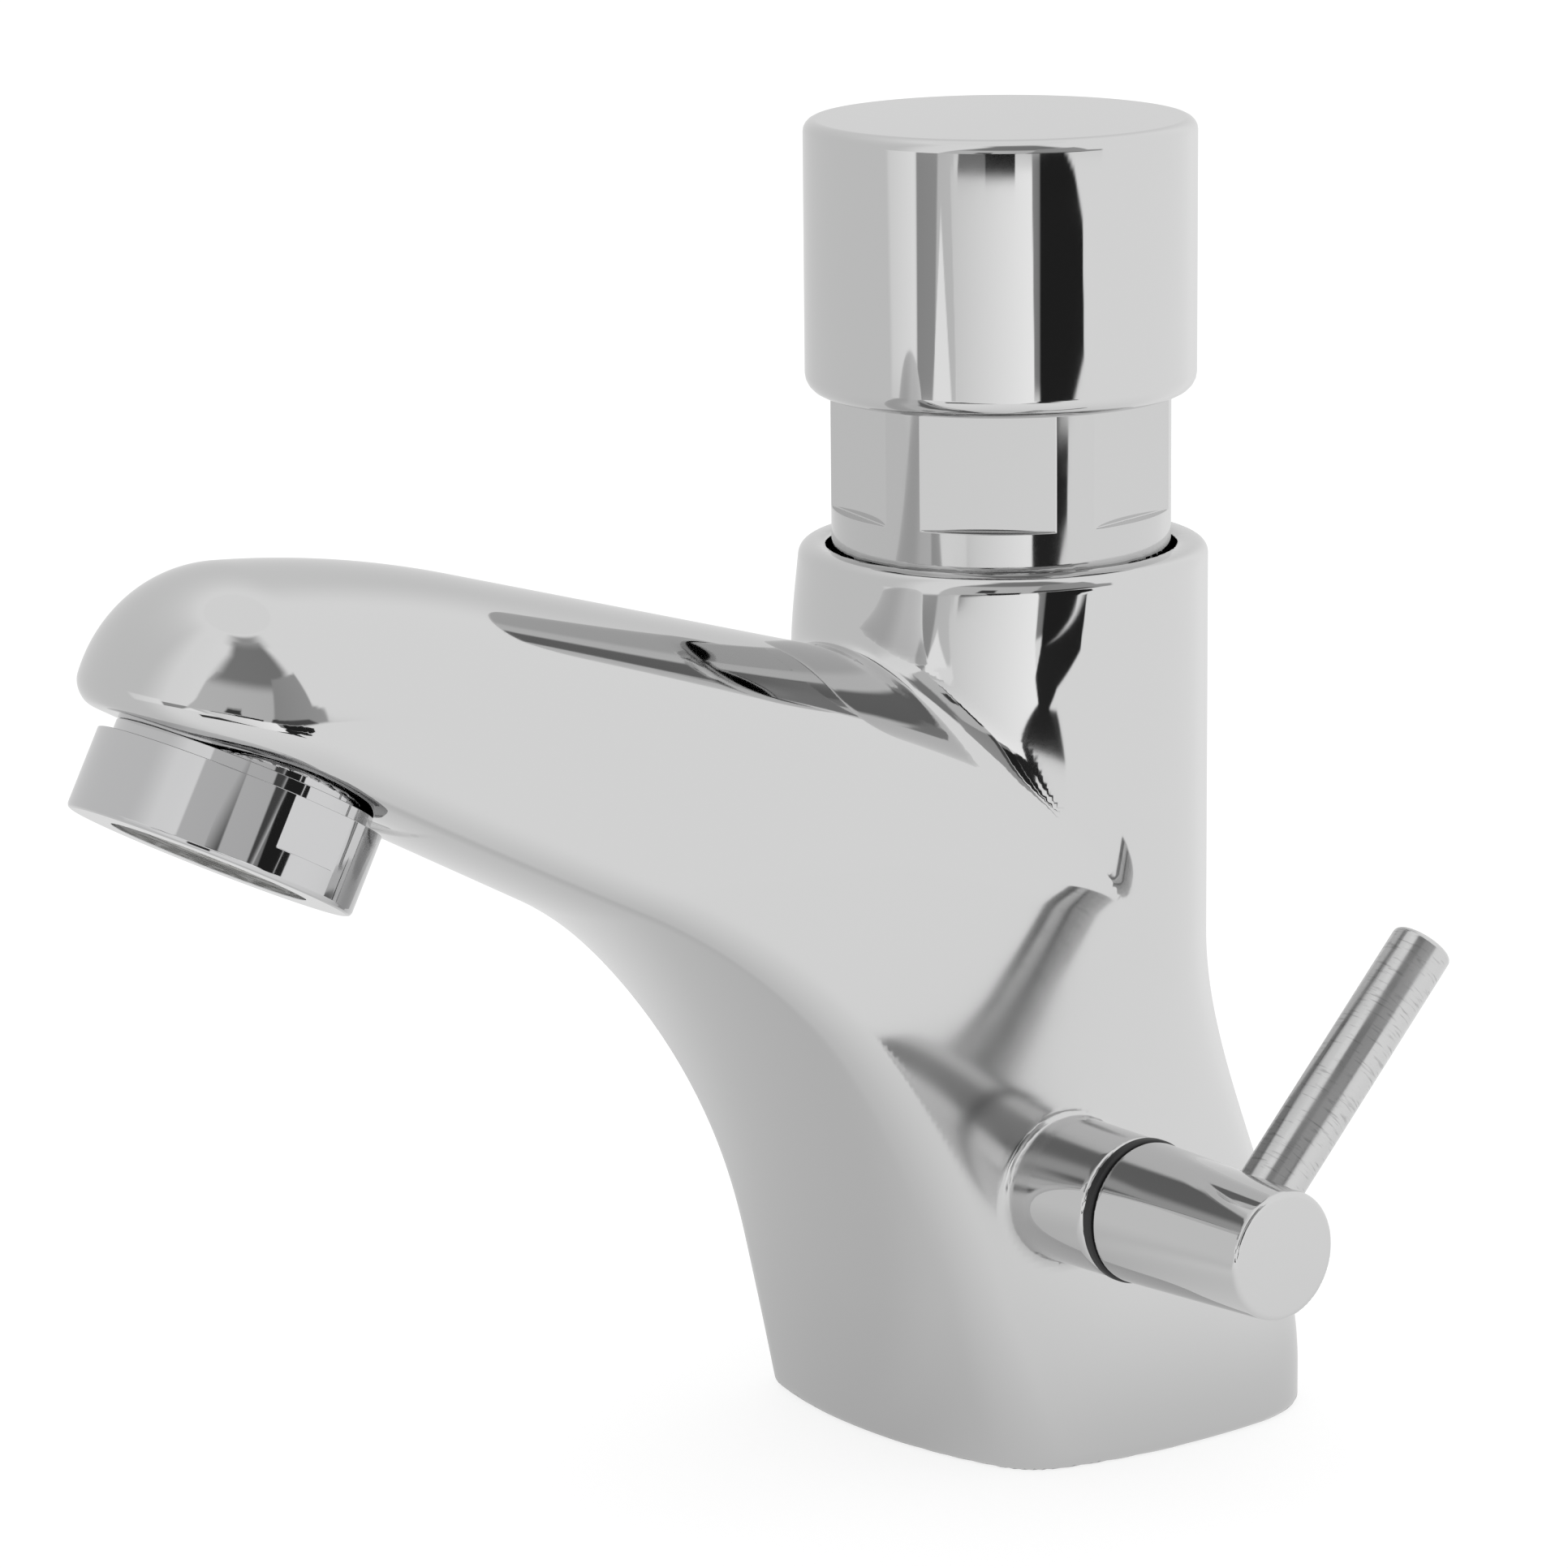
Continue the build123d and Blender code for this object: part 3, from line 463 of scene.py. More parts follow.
def foot_plan(x, y):
    """Distance to the rounded rectangle of the recess under the foot."""
    side_x = np.abs(x) - (RECESS_HALF_X - RECESS_ROUND)
    side_y = np.abs(y - RECESS_MIDDLE) - (RECESS_HALF_Y - RECESS_ROUND)
    outside = np.hypot(np.maximum(side_x, 0.0), np.maximum(side_y, 0.0))
    return outside + np.minimum(np.maximum(side_x, side_y), 0.0) - RECESS_ROUND


def foot_recess(x, y, z):
    """Hollow under the foot round the stud's boss, with the stud's hole, the inlets and the groove."""
    plan = foot_plan(x, y)
    hollow = np.maximum(np.maximum(plan, z - RECESS_TOP), STUD_BOSS - np.hypot(x, y))
    stud_hole = bore(STUD_HOLE, x, y, z - STUD_HOLE_TOP)
    inlets = bore(INLET, np.abs(x) - INLET_ASIDE, y + INLET_AHEAD, z - INLET_TOP)
    groove = np.maximum(np.abs(plan - GROOVE_OUT) - GROOVE_HALF, z - GROOVE_DEPTH)
    return np.minimum(np.minimum(np.minimum(hollow, stud_hole), inlets), groove)


def valve_boss(x, y, z):
    """Slightly tapered boss that stands out of the flank for the temperature valve."""
    radius = BOSS_RADIUS - BOSS_TAPER * (x - BOSS_START) / (BOSS_FACE - BOSS_START)
    boss = np.hypot(y - VALVE[0], z - VALVE[1]) - radius
    return np.maximum(rounded_cut(boss, x - BOSS_FACE, BOSS_ROUND), -x)


def body_rule(x, y, z):
    """The whole cast body with its edges, boss and bores."""
    skin = outer_skin(x, y, z)
    edge = EDGE_ROUND + EDGE_ADDED_AT_FOOT * smooth_step((EDGE_ADDED_BELOW - z) / EDGE_ADDED_BELOW)
    shape = rounded_cut(skin, underside(x, y, z), edge)
    along, out = outlet_axes(y, z)
    shape = rounded_cut(shape, np.minimum(out, along + OUTLET_BACK), OUTLET_ROUND)
    shape = rounded_join(shape, valve_boss(x, y, z), BOSS_FILLET)
    shape = rounded_cut(shape, -z, BOTTOM_ROUND)

    steps = [bore(radius, x, y, floor - z) for radius, floor in MOUTH_BORES]
    shape = rounded_cut(shape, -np.minimum.reduce(steps), MOUTH_ROUND)
    shape = np.maximum(shape, -bore(VALVE_BORE, y - VALVE[0], z - VALVE[1], VALVE_BORE_END - x))
    shape = np.maximum(shape, -bore(AERATOR_BORE, x, along, -AERATOR_DEPTH - out))
    return np.maximum(shape, -foot_recess(x, y, z))


BODY_STEP = 0.7
BODY_LOW = (-27.0, -112.0, -1.8)
BODY_HIGH = (34.0, 29.0, 104.5)
COLLAR_SPAN = (89.0, 92.4)
body = piece_from_rule("cast_body", body_rule, BODY_LOW, BODY_HIGH, BODY_STEP, COLLAR_SPAN)
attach(body, "body")
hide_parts("tap_body")

# %% [markdown]
# ## Turned pieces
# The push cap, the black ring and the lever are round, so each is a profile turned about an axis.
# Blender's Spin tool would do it, but a written profile can round each corner by a real radius and
# hand the exact normal to each point, which keeps the reflections in the chrome straight.


# %% Profile with rounded corners
def rounded_profile(corners, closed, segments=5):
    """Points and normals along a profile of (radius, height, rounding) corners, outside on its left."""
    spots = []
    normals = []
    count = len(corners)
    for index, (radius, height, rounding) in enumerate(corners):
        here = np.array([radius, height], float)
        last = np.array(corners[(index - 1) % count][:2], float)
        following = np.array(corners[(index + 1) % count][:2], float)
        arrive = (here - last) / max(np.linalg.norm(here - last), 1e-9)
        leave = (following - here) / max(np.linalg.norm(following - here), 1e-9)
        first = np.array([-arrive[1], arrive[0]])
        second = np.array([-leave[1], leave[0]])
        if not closed and index == 0:
            spots.append(here)
            normals.append(second)
        elif not closed and index == count - 1:
            spots.append(here)
            normals.append(first)
        else:
            turn = math.atan2(arrive[0] * leave[1] - arrive[1] * leave[0], arrive @ leave)
            side = -1.0 if turn > 0.0 else 1.0
            start = here - arrive * rounding * abs(math.tan(turn / 2.0))
            middle = start - first * rounding * side
            for share in np.linspace(0.0, 1.0, segments + 1):
                angle = turn * share
                normal = np.array([
                    first[0] * math.cos(angle) - first[1] * math.sin(angle),
                    first[0] * math.sin(angle) + first[1] * math.cos(angle),
                ])
                spots.append(middle + normal * rounding * side)
                normals.append(normal)
    return np.array(spots), np.array(normals)


# %% Turning a profile
def axes_about(axis):
    """Two directions across an axis, and the axis itself."""
    upright = np.array(axis, float) / np.linalg.norm(axis)
    across = np.cross([0.0, 1.0, 0.0] if abs(upright[1]) < 0.9 else [0.0, 0.0, 1.0], upright)
    across /= np.linalg.norm(across)
    return across, np.cross(upright, across), upright


def turned(name, corners, origin=(0.0, 0.0, 0.0), axis=(0.0, 0.0, 1.0), closed=False, around=192):
    """Object made by turning a rounded profile about an axis."""
    spots, slants = rounded_profile(corners, closed)
    first, second, upright = axes_about(axis)
    angles = np.linspace(0.0, 2.0 * math.pi, around, endpoint=False)
    spokes = np.cos(angles)[:, None] * first + np.sin(angles)[:, None] * second
    points = []
    normals = []
    rows = []
    for (radius, height), (slant, lift) in zip(spots, slants):
        if radius < 1e-6:
            rows.append([len(points)] * around)
            points.append(upright * height)
            normals.append(upright * np.sign(lift))
        else:
            rows.append(list(range(len(points), len(points) + around)))
            points.extend(spokes * radius + upright * height)
            normals.extend(spokes * slant + upright * lift)
    faces = []
    pairs = list(zip(rows, rows[1:])) + ([(rows[-1], rows[0])] if closed else [])
    for upper, lower in pairs:
        for k in range(around):
            after = (k + 1) % around
            corner_list = [upper[k], lower[k], lower[after], upper[after]]
            faces.append(list(dict.fromkeys(corner_list)))
    return mesh_object(name, np.array(points) + np.array(origin), faces, normals)


# %% Push cap
CAP_RADIUS = 20.0
CAP_BOTTOM = 107.6
CAP_TOP = 135.5
CAP_CEILING = 132.9
CAP_BORE = 17.7
CAP_BOSS = 5.5
CAP_BOSS_BOTTOM = 124.0
CAP_THREAD = 2.6
CAP_THREAD_END = 131.0
cap = turned("turned_push_cap", [
    (0.0, CAP_TOP, 0.0),
    (CAP_RADIUS, CAP_TOP, 1.3),
    (CAP_RADIUS, CAP_BOTTOM, 2.0),
    (CAP_BORE, CAP_BOTTOM, 0.1),
    (CAP_BORE, CAP_CEILING, 0.4),
    (CAP_BOSS, CAP_CEILING, 0.4),
    (CAP_BOSS, CAP_BOSS_BOTTOM, 0.3),
    (CAP_THREAD, CAP_BOSS_BOTTOM, 0.1),
    (CAP_THREAD, CAP_THREAD_END, 0.1),
    (0.0, CAP_THREAD_END, 0.0),
])
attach(cap, "push")
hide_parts("push_cap")
print("push cap", len(cap.data.polygons), "faces")

# %% Black ring behind the knob
RING_RADIUS = 7.38
RING_BORE = 3.1
RING_END = BOSS_FACE + 1.1
ring = turned("knob_gap_ring", [
    (RING_BORE, RING_END, 0.05),
    (RING_RADIUS, RING_END, 0.3),
    (RING_RADIUS, BOSS_FACE, 0.3),
    (RING_BORE, BOSS_FACE, 0.05),
], (0.0, *VALVE), (1.0, 0.0, 0.0), closed=True)
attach(ring, "body")
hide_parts("knob_ring")

# %% Lever rod
LEVER_X = 46.3
LEVER_LEAN = math.radians(44.5)
LEVER_AXIS = (0.0, math.sin(LEVER_LEAN), math.cos(LEVER_LEAN))
LEVER_RADIUS = 3.22
LEVER_REACH = 36.3
LEVER_SEAT = 5.0
LEVER_SCREW = 2.2
LEVER_START = 3.05
lever = turned("lever_rod_bright", [
    (0.0, LEVER_REACH, 0.0),
    (LEVER_RADIUS, LEVER_REACH, 0.6),
    (LEVER_RADIUS, LEVER_SEAT, 0.15),
    (LEVER_SCREW, LEVER_SEAT, 0.1),
    (LEVER_SCREW, LEVER_START, 0.1),
    (0.0, LEVER_START, 0.0),
], (LEVER_X, *VALVE), LEVER_AXIS, around=96)
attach(lever, "temperature")
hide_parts("lever_rod")
print("lever tip at height", round(VALVE[1] + LEVER_REACH * LEVER_AXIS[2], 1), "mm")

# %% [markdown]
# ## Temperature knob
# The knob is a short tapered bar with a hole across it for the lever. Where the round hole leaves the
# tapered side the edge is a saddle, so the same surface net as for the body makes it.

# %% Knob
KNOB_START = 33.05
KNOB_END = 53.2
KNOB_SEAM_RADIUS = 7.2
KNOB_END_RADIUS = 6.5
KNOB_BORE_END = 50.4
KNOB_BORE = 3.05
KNOB_ROUND = 0.35
LEVER_CLEARANCE = 0.06
LEVER_HOLE_ROUND = 0.12
KNOB_STEP = 0.3
KNOB_LOW = (32.4, -17.9, 21.7)
KNOB_HIGH = (53.9, -2.2, 37.5)


def knob_rule(x, y, z):
    """Tapered knob with its bore and the lever's hole."""
    ahead = (x - KNOB_START) / (KNOB_END - KNOB_START)
    radius = np.hypot(y - VALVE[0], z - VALVE[1])
    taper = KNOB_SEAM_RADIUS + (KNOB_END_RADIUS - KNOB_SEAM_RADIUS) * ahead
    shape = rounded_cut(radius - taper, np.maximum(x - KNOB_END, KNOB_START - x), KNOB_ROUND)
    shape = np.maximum(shape, -np.maximum(radius - KNOB_BORE, x - KNOB_BORE_END))
    along = (y - VALVE[0]) * LEVER_AXIS[1] + (z - VALVE[1]) * LEVER_AXIS[2]
    across = (y - VALVE[0]) * LEVER_AXIS[2] - (z - VALVE[1]) * LEVER_AXIS[1]
    hole = np.hypot(x - LEVER_X, across) - (LEVER_RADIUS + LEVER_CLEARANCE)
    return rounded_cut(shape, -np.maximum(hole, LEVER_SEAT - along), LEVER_HOLE_ROUND)


knob = piece_from_rule("tapered_knob", knob_rule, KNOB_LOW, KNOB_HIGH, KNOB_STEP)
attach(knob, "temperature")
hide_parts("temperature_knob")

# %% [markdown]
# ## Neck and aerator ring
# The neck under the cap is round with six flats for a spanner, and the aerator ring has two. Both are
# rings of points stacked along an axis. Where a ring has flats, each point is pulled in to the nearest
# flat, so the flats meet the round part in the true curved edges. A Bevel modifier breaks the edges.


# %% Stacked rings with flats
RING_STEP = math.radians(3.0)
MERGE_DISTANCE = 0.0005
SHARP_ANGLE = math.radians(12.0)


def flat_angles(flats, circle_radius, flat_distance, azimuth):
    """Angles for the points of a ring, with one at each edge of each flat."""
    half = math.acos(flat_distance / circle_radius)
    spacing = 2.0 * math.pi / flats
    angles = []
    for k in range(flats):
        middle = azimuth + k * spacing
        on_flat = max(2, round(2.0 * half / RING_STEP))
        between = max(2, round((spacing - 2.0 * half) / RING_STEP))
        angles += list(middle + np.linspace(-half, half, on_flat, endpoint=False))
        angles += list(middle + np.linspace(half, spacing - half, between, endpoint=False))
    return np.array(angles)


def stacked_rings(name, rings, angles, flats, flat_distance, azimuth, origin, axis, bevel):
    """Object from (radius, height, has flats) rings, closed from the last ring to the first."""
    first, second, upright = axes_about(axis)
    spacing = 2.0 * math.pi / flats
    from_flat = (angles - azimuth + spacing / 2.0) % spacing - spacing / 2.0
    points = []
    for radius, height, has_flats in rings:
        reach = np.full(len(angles), float(radius))
        if has_flats:
            reach = np.minimum(reach, flat_distance / np.cos(from_flat))
        spokes = np.cos(angles)[:, None] * first + np.sin(angles)[:, None] * second
        points.append(spokes * reach[:, None] + upright * height)
    around = len(angles)
    faces = []
    for ring_index in range(len(rings)):
        upper = ring_index * around
        lower = (ring_index + 1) % len(rings) * around
        for k in range(around):
            after = (k + 1) % around
            faces.append((upper + k, lower + k, lower + after, upper + after))
    points = np.concatenate(points) + np.array(origin)
    rough = mesh_object(name + "_rough", points, faces)
    work = bmesh.new()
    work.from_mesh(rough.data)
    bmesh.ops.remove_doubles(work, verts=work.verts, dist=MERGE_DISTANCE * MM)
    bmesh.ops.recalc_face_normals(work, faces=work.faces)
    work.to_mesh(rough.data)
    work.free()
    rough.data.shade_smooth()
    edge = rough.modifiers.new("edge", "BEVEL")
    edge.width = bevel * MM
    edge.segments = 3
    edge.limit_method = "ANGLE"
    edge.angle_limit = SHARP_ANGLE
    edge.harden_normals = True
    return applied(rough, name)


def applied(rough, name):
    """Plain object from the evaluated mesh of one with modifiers, which goes away."""
    graph = bpy.context.evaluated_depsgraph_get()
    mesh = bpy.data.meshes.new_from_object(rough.evaluated_get(graph))
    bpy.data.objects.remove(rough)
    mesh.name = name
    piece = bpy.data.objects.new(name, mesh)
    bpy.context.scene.collection.objects.link(piece)
    print(name, len(mesh.polygons), "faces")
    return piece


# %% Neck
NECK_RADIUS = 17.4
NECK_FLAT = 16.0
NECK_FLATS_FROM = 95.8
NECK_AZIMUTH = math.radians(14.3)
NECK_TOP = 124.0
NECK_BOTTOM = 86.0
NECK_INNER = 15.0
NECK_THREAD = 15.9
NECK_THREAD_END = 76.0
NECK_SKIRT_BORE = 13.0
NECK_WEB_LOW = 102.0
NECK_WEB_HIGH = 108.0
NECK_WEB_BORE = 5.0
NECK_BEVEL = 0.12
neck_angles = flat_angles(6, NECK_RADIUS, NECK_FLAT, NECK_AZIMUTH)
neck = stacked_rings("hexagon_neck", [
    (NECK_INNER, NECK_TOP, False),
    (NECK_RADIUS, NECK_TOP, True),
    (NECK_RADIUS, NECK_FLATS_FROM, True),
    (NECK_RADIUS, NECK_FLATS_FROM, False),
    (NECK_RADIUS, NECK_BOTTOM, False),
    (NECK_THREAD, NECK_BOTTOM, False),
    (NECK_THREAD, NECK_THREAD_END, False),
    (NECK_SKIRT_BORE, NECK_THREAD_END, False),
    (NECK_SKIRT_BORE, NECK_WEB_LOW, False),
    (NECK_WEB_BORE, NECK_WEB_LOW, False),
    (NECK_WEB_BORE, NECK_WEB_HIGH, False),
    (NECK_INNER, NECK_WEB_HIGH, False),
], neck_angles, 6, NECK_FLAT, NECK_AZIMUTH, (0.0, 0.0, 0.0), (0.0, 0.0, 1.0), NECK_BEVEL)
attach(neck, "body")
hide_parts("bonnet")

# %% Aerator ring
OUTLET_AXIS = (0.0, -SHALLOW[0], -SHALLOW[1])
KEY_FLAT = 13.82
HOUSING = 14.27
HOUSING_TOP = 1.3
HOUSING_END = 9.4
HOUSING_ROUND_START = 8.95
HOUSING_ROUND_MIDDLE = (14.14, 9.27)
HOUSING_FACE = 13.82
KEY_FLAT_END = 6.5
HOUSING_NECK = 12.9
HOUSING_SLEEVE = 11.5
HOUSING_SLEEVE_END = -6.0
HOUSING_BORE = 10.4
OUTLET_LIP = 9.8
OUTLET_LIP_TOP = 8.6
HOUSING_BEVEL = 0.1
aerator_angles = flat_angles(2, HOUSING, KEY_FLAT, 0.0)
aerator = stacked_rings("aerator_ring", [
    (OUTLET_LIP, HOUSING_END, False),
    (OUTLET_LIP, OUTLET_LIP_TOP, False),
    (HOUSING_BORE, OUTLET_LIP_TOP, False),
    (HOUSING_BORE, HOUSING_SLEEVE_END, False),
    (HOUSING_SLEEVE, HOUSING_SLEEVE_END, False),
    (HOUSING_SLEEVE, 0.0, False),
    (HOUSING_NECK, 0.0, False),
    (HOUSING_NECK, HOUSING_TOP, False),
    (HOUSING, HOUSING_TOP, True),
    (HOUSING, KEY_FLAT_END, True),
    (HOUSING, KEY_FLAT_END, False),
    (HOUSING, HOUSING_ROUND_START, False),
    (*HOUSING_ROUND_MIDDLE, False),
    (HOUSING_FACE, HOUSING_END, False),
], aerator_angles, 2, KEY_FLAT, 0.0, (0.0, *OUTLET), OUTLET_AXIS, HOUSING_BEVEL)
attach(aerator, "body")
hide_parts("aerator_housing")

# %% [markdown]
# ## Wear shared by the metals
# Plated metal is never equally smooth: fingers and cloths leave it a little duller in patches, and
# polishing leaves a very slight wave. One node group makes both, and each metal gives it its own
# values. It hands out a roughness and a height, and the shader itself stays in the material.

# %% Handled metal group
handled = bpy.data.node_groups.new("handled_metal", "ShaderNodeTree")
for label, value in (("Smooth", 0.03), ("Dull", 0.08), ("Patch scale", 60.0), ("Wave scale", 25.0)):
    socket = handled.interface.new_socket(label, in_out="INPUT", socket_type="NodeSocketFloat")
    socket.default_value = value
handled.interface.new_socket("Roughness", in_out="OUTPUT", socket_type="NodeSocketFloat")
handled.interface.new_socket("Height", in_out="OUTPUT", socket_type="NodeSocketFloat")
group_in = handled.nodes.new("NodeGroupInput")
group_out = handled.nodes.new("NodeGroupOutput")
place = handled.nodes.new("ShaderNodeTexCoord")
patches = handled.nodes.new("ShaderNodeTexNoise")
patches.inputs["Detail"].default_value = 4.0
patches.inputs["Roughness"].default_value = 0.6
handled.links.new(place.outputs["Object"], patches.inputs["Vector"])
handled.links.new(group_in.outputs["Patch scale"], patches.inputs["Scale"])
spread = handled.nodes.new("ShaderNodeMapRange")
spread.inputs["From Min"].default_value = 0.35
spread.inputs["From Max"].default_value = 0.75
handled.links.new(patches.outputs["Fac"], spread.inputs["Value"])
handled.links.new(group_in.outputs["Smooth"], spread.inputs["To Min"])
handled.links.new(group_in.outputs["Dull"], spread.inputs["To Max"])
handled.links.new(spread.outputs["Result"], group_out.inputs["Roughness"])
waves = handled.nodes.new("ShaderNodeTexNoise")
waves.inputs["Detail"].default_value = 1.0
handled.links.new(place.outputs["Object"], waves.inputs["Vector"])
handled.links.new(group_in.outputs["Wave scale"], waves.inputs["Scale"])
handled.links.new(waves.outputs["Fac"], group_out.inputs["Height"])


# %% Chrome
PATCH_SCALE = 90.0
WAVE_SCALE = 25.0


def chrome(name, colour, smooth, dull, wave):
    """Polished plate: a bright neutral metal with patchy gloss and a slight wave."""
    material = bpy.data.materials.new(name)
    material.use_nodes = True
    nodes = material.node_tree.nodes
    links = material.node_tree.links
    shader = nodes["Principled BSDF"]
    shader.inputs["Base Color"].default_value = (*colour, 1.0)
    shader.inputs["Metallic"].default_value = 1.0
    group = nodes.new("ShaderNodeGroup")
    group.node_tree = handled
    group.inputs["Smooth"].default_value = smooth
    group.inputs["Dull"].default_value = dull
    group.inputs["Patch scale"].default_value = PATCH_SCALE
    group.inputs["Wave scale"].default_value = WAVE_SCALE
    links.new(group.outputs["Roughness"], shader.inputs["Roughness"])
    bump = nodes.new("ShaderNodeBump")
    bump.inputs["Distance"].default_value = wave * MM
    links.new(group.outputs["Height"], bump.inputs["Height"])
    links.new(bump.outputs["Normal"], shader.inputs["Normal"])
    return material


# where the softer finish starts and is full: height above the table, and distance towards the boss
SOFTER_BELOW = (66.0, 36.0)
SOFTER_BEFORE_BOSS = (24.0, 23.2)


def buffed_foot(material, smooth, dull, added):
    """Let the flanks of the foot mirror more softly than the spout, the collar and the valve boss."""
    nodes = material.node_tree.nodes
    links = material.node_tree.links
    place = nodes.new("ShaderNodeTexCoord")
    parts = nodes.new("ShaderNodeSeparateXYZ")
    links.new(place.outputs["Object"], parts.inputs["Vector"])
    masks = []
    for axis, (start, end) in (("Z", SOFTER_BELOW), ("X", SOFTER_BEFORE_BOSS)):
        fade = nodes.new("ShaderNodeMapRange")
        fade.interpolation_type = "SMOOTHSTEP"
        fade.inputs["From Min"].default_value = start * MM
        fade.inputs["From Max"].default_value = end * MM
        links.new(parts.outputs[axis], fade.inputs["Value"])
        masks.append(fade.outputs["Result"])
    both = nodes.new("ShaderNodeMath")
    both.operation = "MULTIPLY"
    links.new(masks[0], both.inputs[0])
    links.new(masks[1], both.inputs[1])
    for socket, level in (("Smooth", smooth), ("Dull", dull)):
        rougher = nodes.new("ShaderNodeMath")
        rougher.operation = "MULTIPLY_ADD"
        rougher.inputs[1].default_value = added
        rougher.inputs[2].default_value = level
        links.new(both.outputs["Value"], rougher.inputs[0])
        links.new(rougher.outputs["Value"], nodes["Group"].inputs[socket])


PLATE = (0.62, 0.62, 0.62)
NECK_PLATE = (0.58, 0.58, 0.58)
CAST_SMOOTH = 0.03
CAST_DULL = 0.06
FOOT_ADDED = 0.14
cast_chrome = chrome("cast_body_chrome", PLATE, CAST_SMOOTH, CAST_DULL, 0.05)
buffed_foot(cast_chrome, CAST_SMOOTH, CAST_DULL, FOOT_ADDED)
turned_chrome = chrome("turned_chrome", PLATE, 0.02, 0.05, 0.008)
neck_chrome = chrome("neck_chrome", NECK_PLATE, 0.05, 0.12, 0.01)
aerator_chrome = chrome("aerator_chrome", (0.58, 0.58, 0.585), 0.03, 0.08, 0.01)


# %% [markdown]
# ## Rod, steel and brass
# The lever was drawn through a die and has been handled, so fine short marks lie across its gloss.
# Turned steel and brass pieces inside the tap show the rings that the tool left.


# %% Marked rod
def shade_of(colour, share):
    """Colour with its alpha, darker or lighter by a share, and never over one."""
    return (*[min(1.0, value * share) for value in colour], 1.0)


def marked_rod(name, colour, origin, lean):
    """Chrome with short fine marks across a rod that leans back from the vertical."""
    material = chrome(name, colour, 0.12, 0.30, 0.004)
    nodes = material.node_tree.nodes
    links = material.node_tree.links
    shader = nodes["Principled BSDF"]
    place = nodes.new("ShaderNodeTexCoord")
    turn = nodes.new("ShaderNodeMapping")
    turn.vector_type = "TEXTURE"
    turn.inputs["Location"].default_value = [value * MM for value in origin]
    turn.inputs["Rotation"].default_value = (-lean, 0.0, 0.0)
    turn.inputs["Scale"].default_value = (1.0, 1.0, 0.12)
    links.new(place.outputs["Object"], turn.inputs["Vector"])
    marks = nodes.new("ShaderNodeTexNoise")
    marks.inputs["Scale"].default_value = 420.0
    marks.inputs["Detail"].default_value = 3.0
    links.new(turn.outputs["Vector"], marks.inputs["Vector"])
    mask = nodes.new("ShaderNodeMapRange")
    mask.inputs["From Min"].default_value = 0.56
    mask.inputs["From Max"].default_value = 0.70
    links.new(marks.outputs["Fac"], mask.inputs["Value"])
    tone = nodes.new("ShaderNodeMix")
    tone.data_type = "RGBA"
    tone.inputs["A"].default_value = (*colour, 1.0)
    tone.inputs["B"].default_value = shade_of(colour, 0.72)
    links.new(mask.outputs["Result"], tone.inputs["Factor"])
    links.new(tone.outputs["Result"], shader.inputs["Base Color"])
    return material


# %% Tooled metal
def tooled(name, colour, roughness, axis_name):
    """Metal with the fine rings of a lathe tool along one axis."""
    material = bpy.data.materials.new(name)
    material.use_nodes = True
    nodes = material.node_tree.nodes
    links = material.node_tree.links
    shader = nodes["Principled BSDF"]
    shader.inputs["Metallic"].default_value = 1.0
    place = nodes.new("ShaderNodeTexCoord")
    rings = nodes.new("ShaderNodeTexWave")
    rings.bands_direction = axis_name
    rings.inputs["Scale"].default_value = 700.0
    rings.inputs["Distortion"].default_value = 0.6
    links.new(place.outputs["Object"], rings.inputs["Vector"])
    tone = nodes.new("ShaderNodeMix")
    tone.data_type = "RGBA"
    tone.inputs["A"].default_value = (*colour, 1.0)
    tone.inputs["B"].default_value = shade_of(colour, 0.8)
    links.new(rings.outputs["Fac"], tone.inputs["Factor"])
    links.new(tone.outputs["Result"], shader.inputs["Base Color"])
    group = nodes.new("ShaderNodeGroup")
    group.node_tree = handled
    group.inputs["Smooth"].default_value = roughness
    group.inputs["Dull"].default_value = roughness + 0.12
    links.new(group.outputs["Roughness"], shader.inputs["Roughness"])
    bump = nodes.new("ShaderNodeBump")
    bump.inputs["Strength"].default_value = 0.25
    bump.inputs["Distance"].default_value = 0.02 * MM
    links.new(rings.outputs["Fac"], bump.inputs["Height"])
    links.new(bump.outputs["Normal"], shader.inputs["Normal"])
    return material


# %% [markdown]
# ## Rubber and moulded plastic
# Seals are black nitrile with a soft bloom, and the cartridge is moulded acetal. Both scatter light,
# so a fine noise in colour, roughness and height is enough.


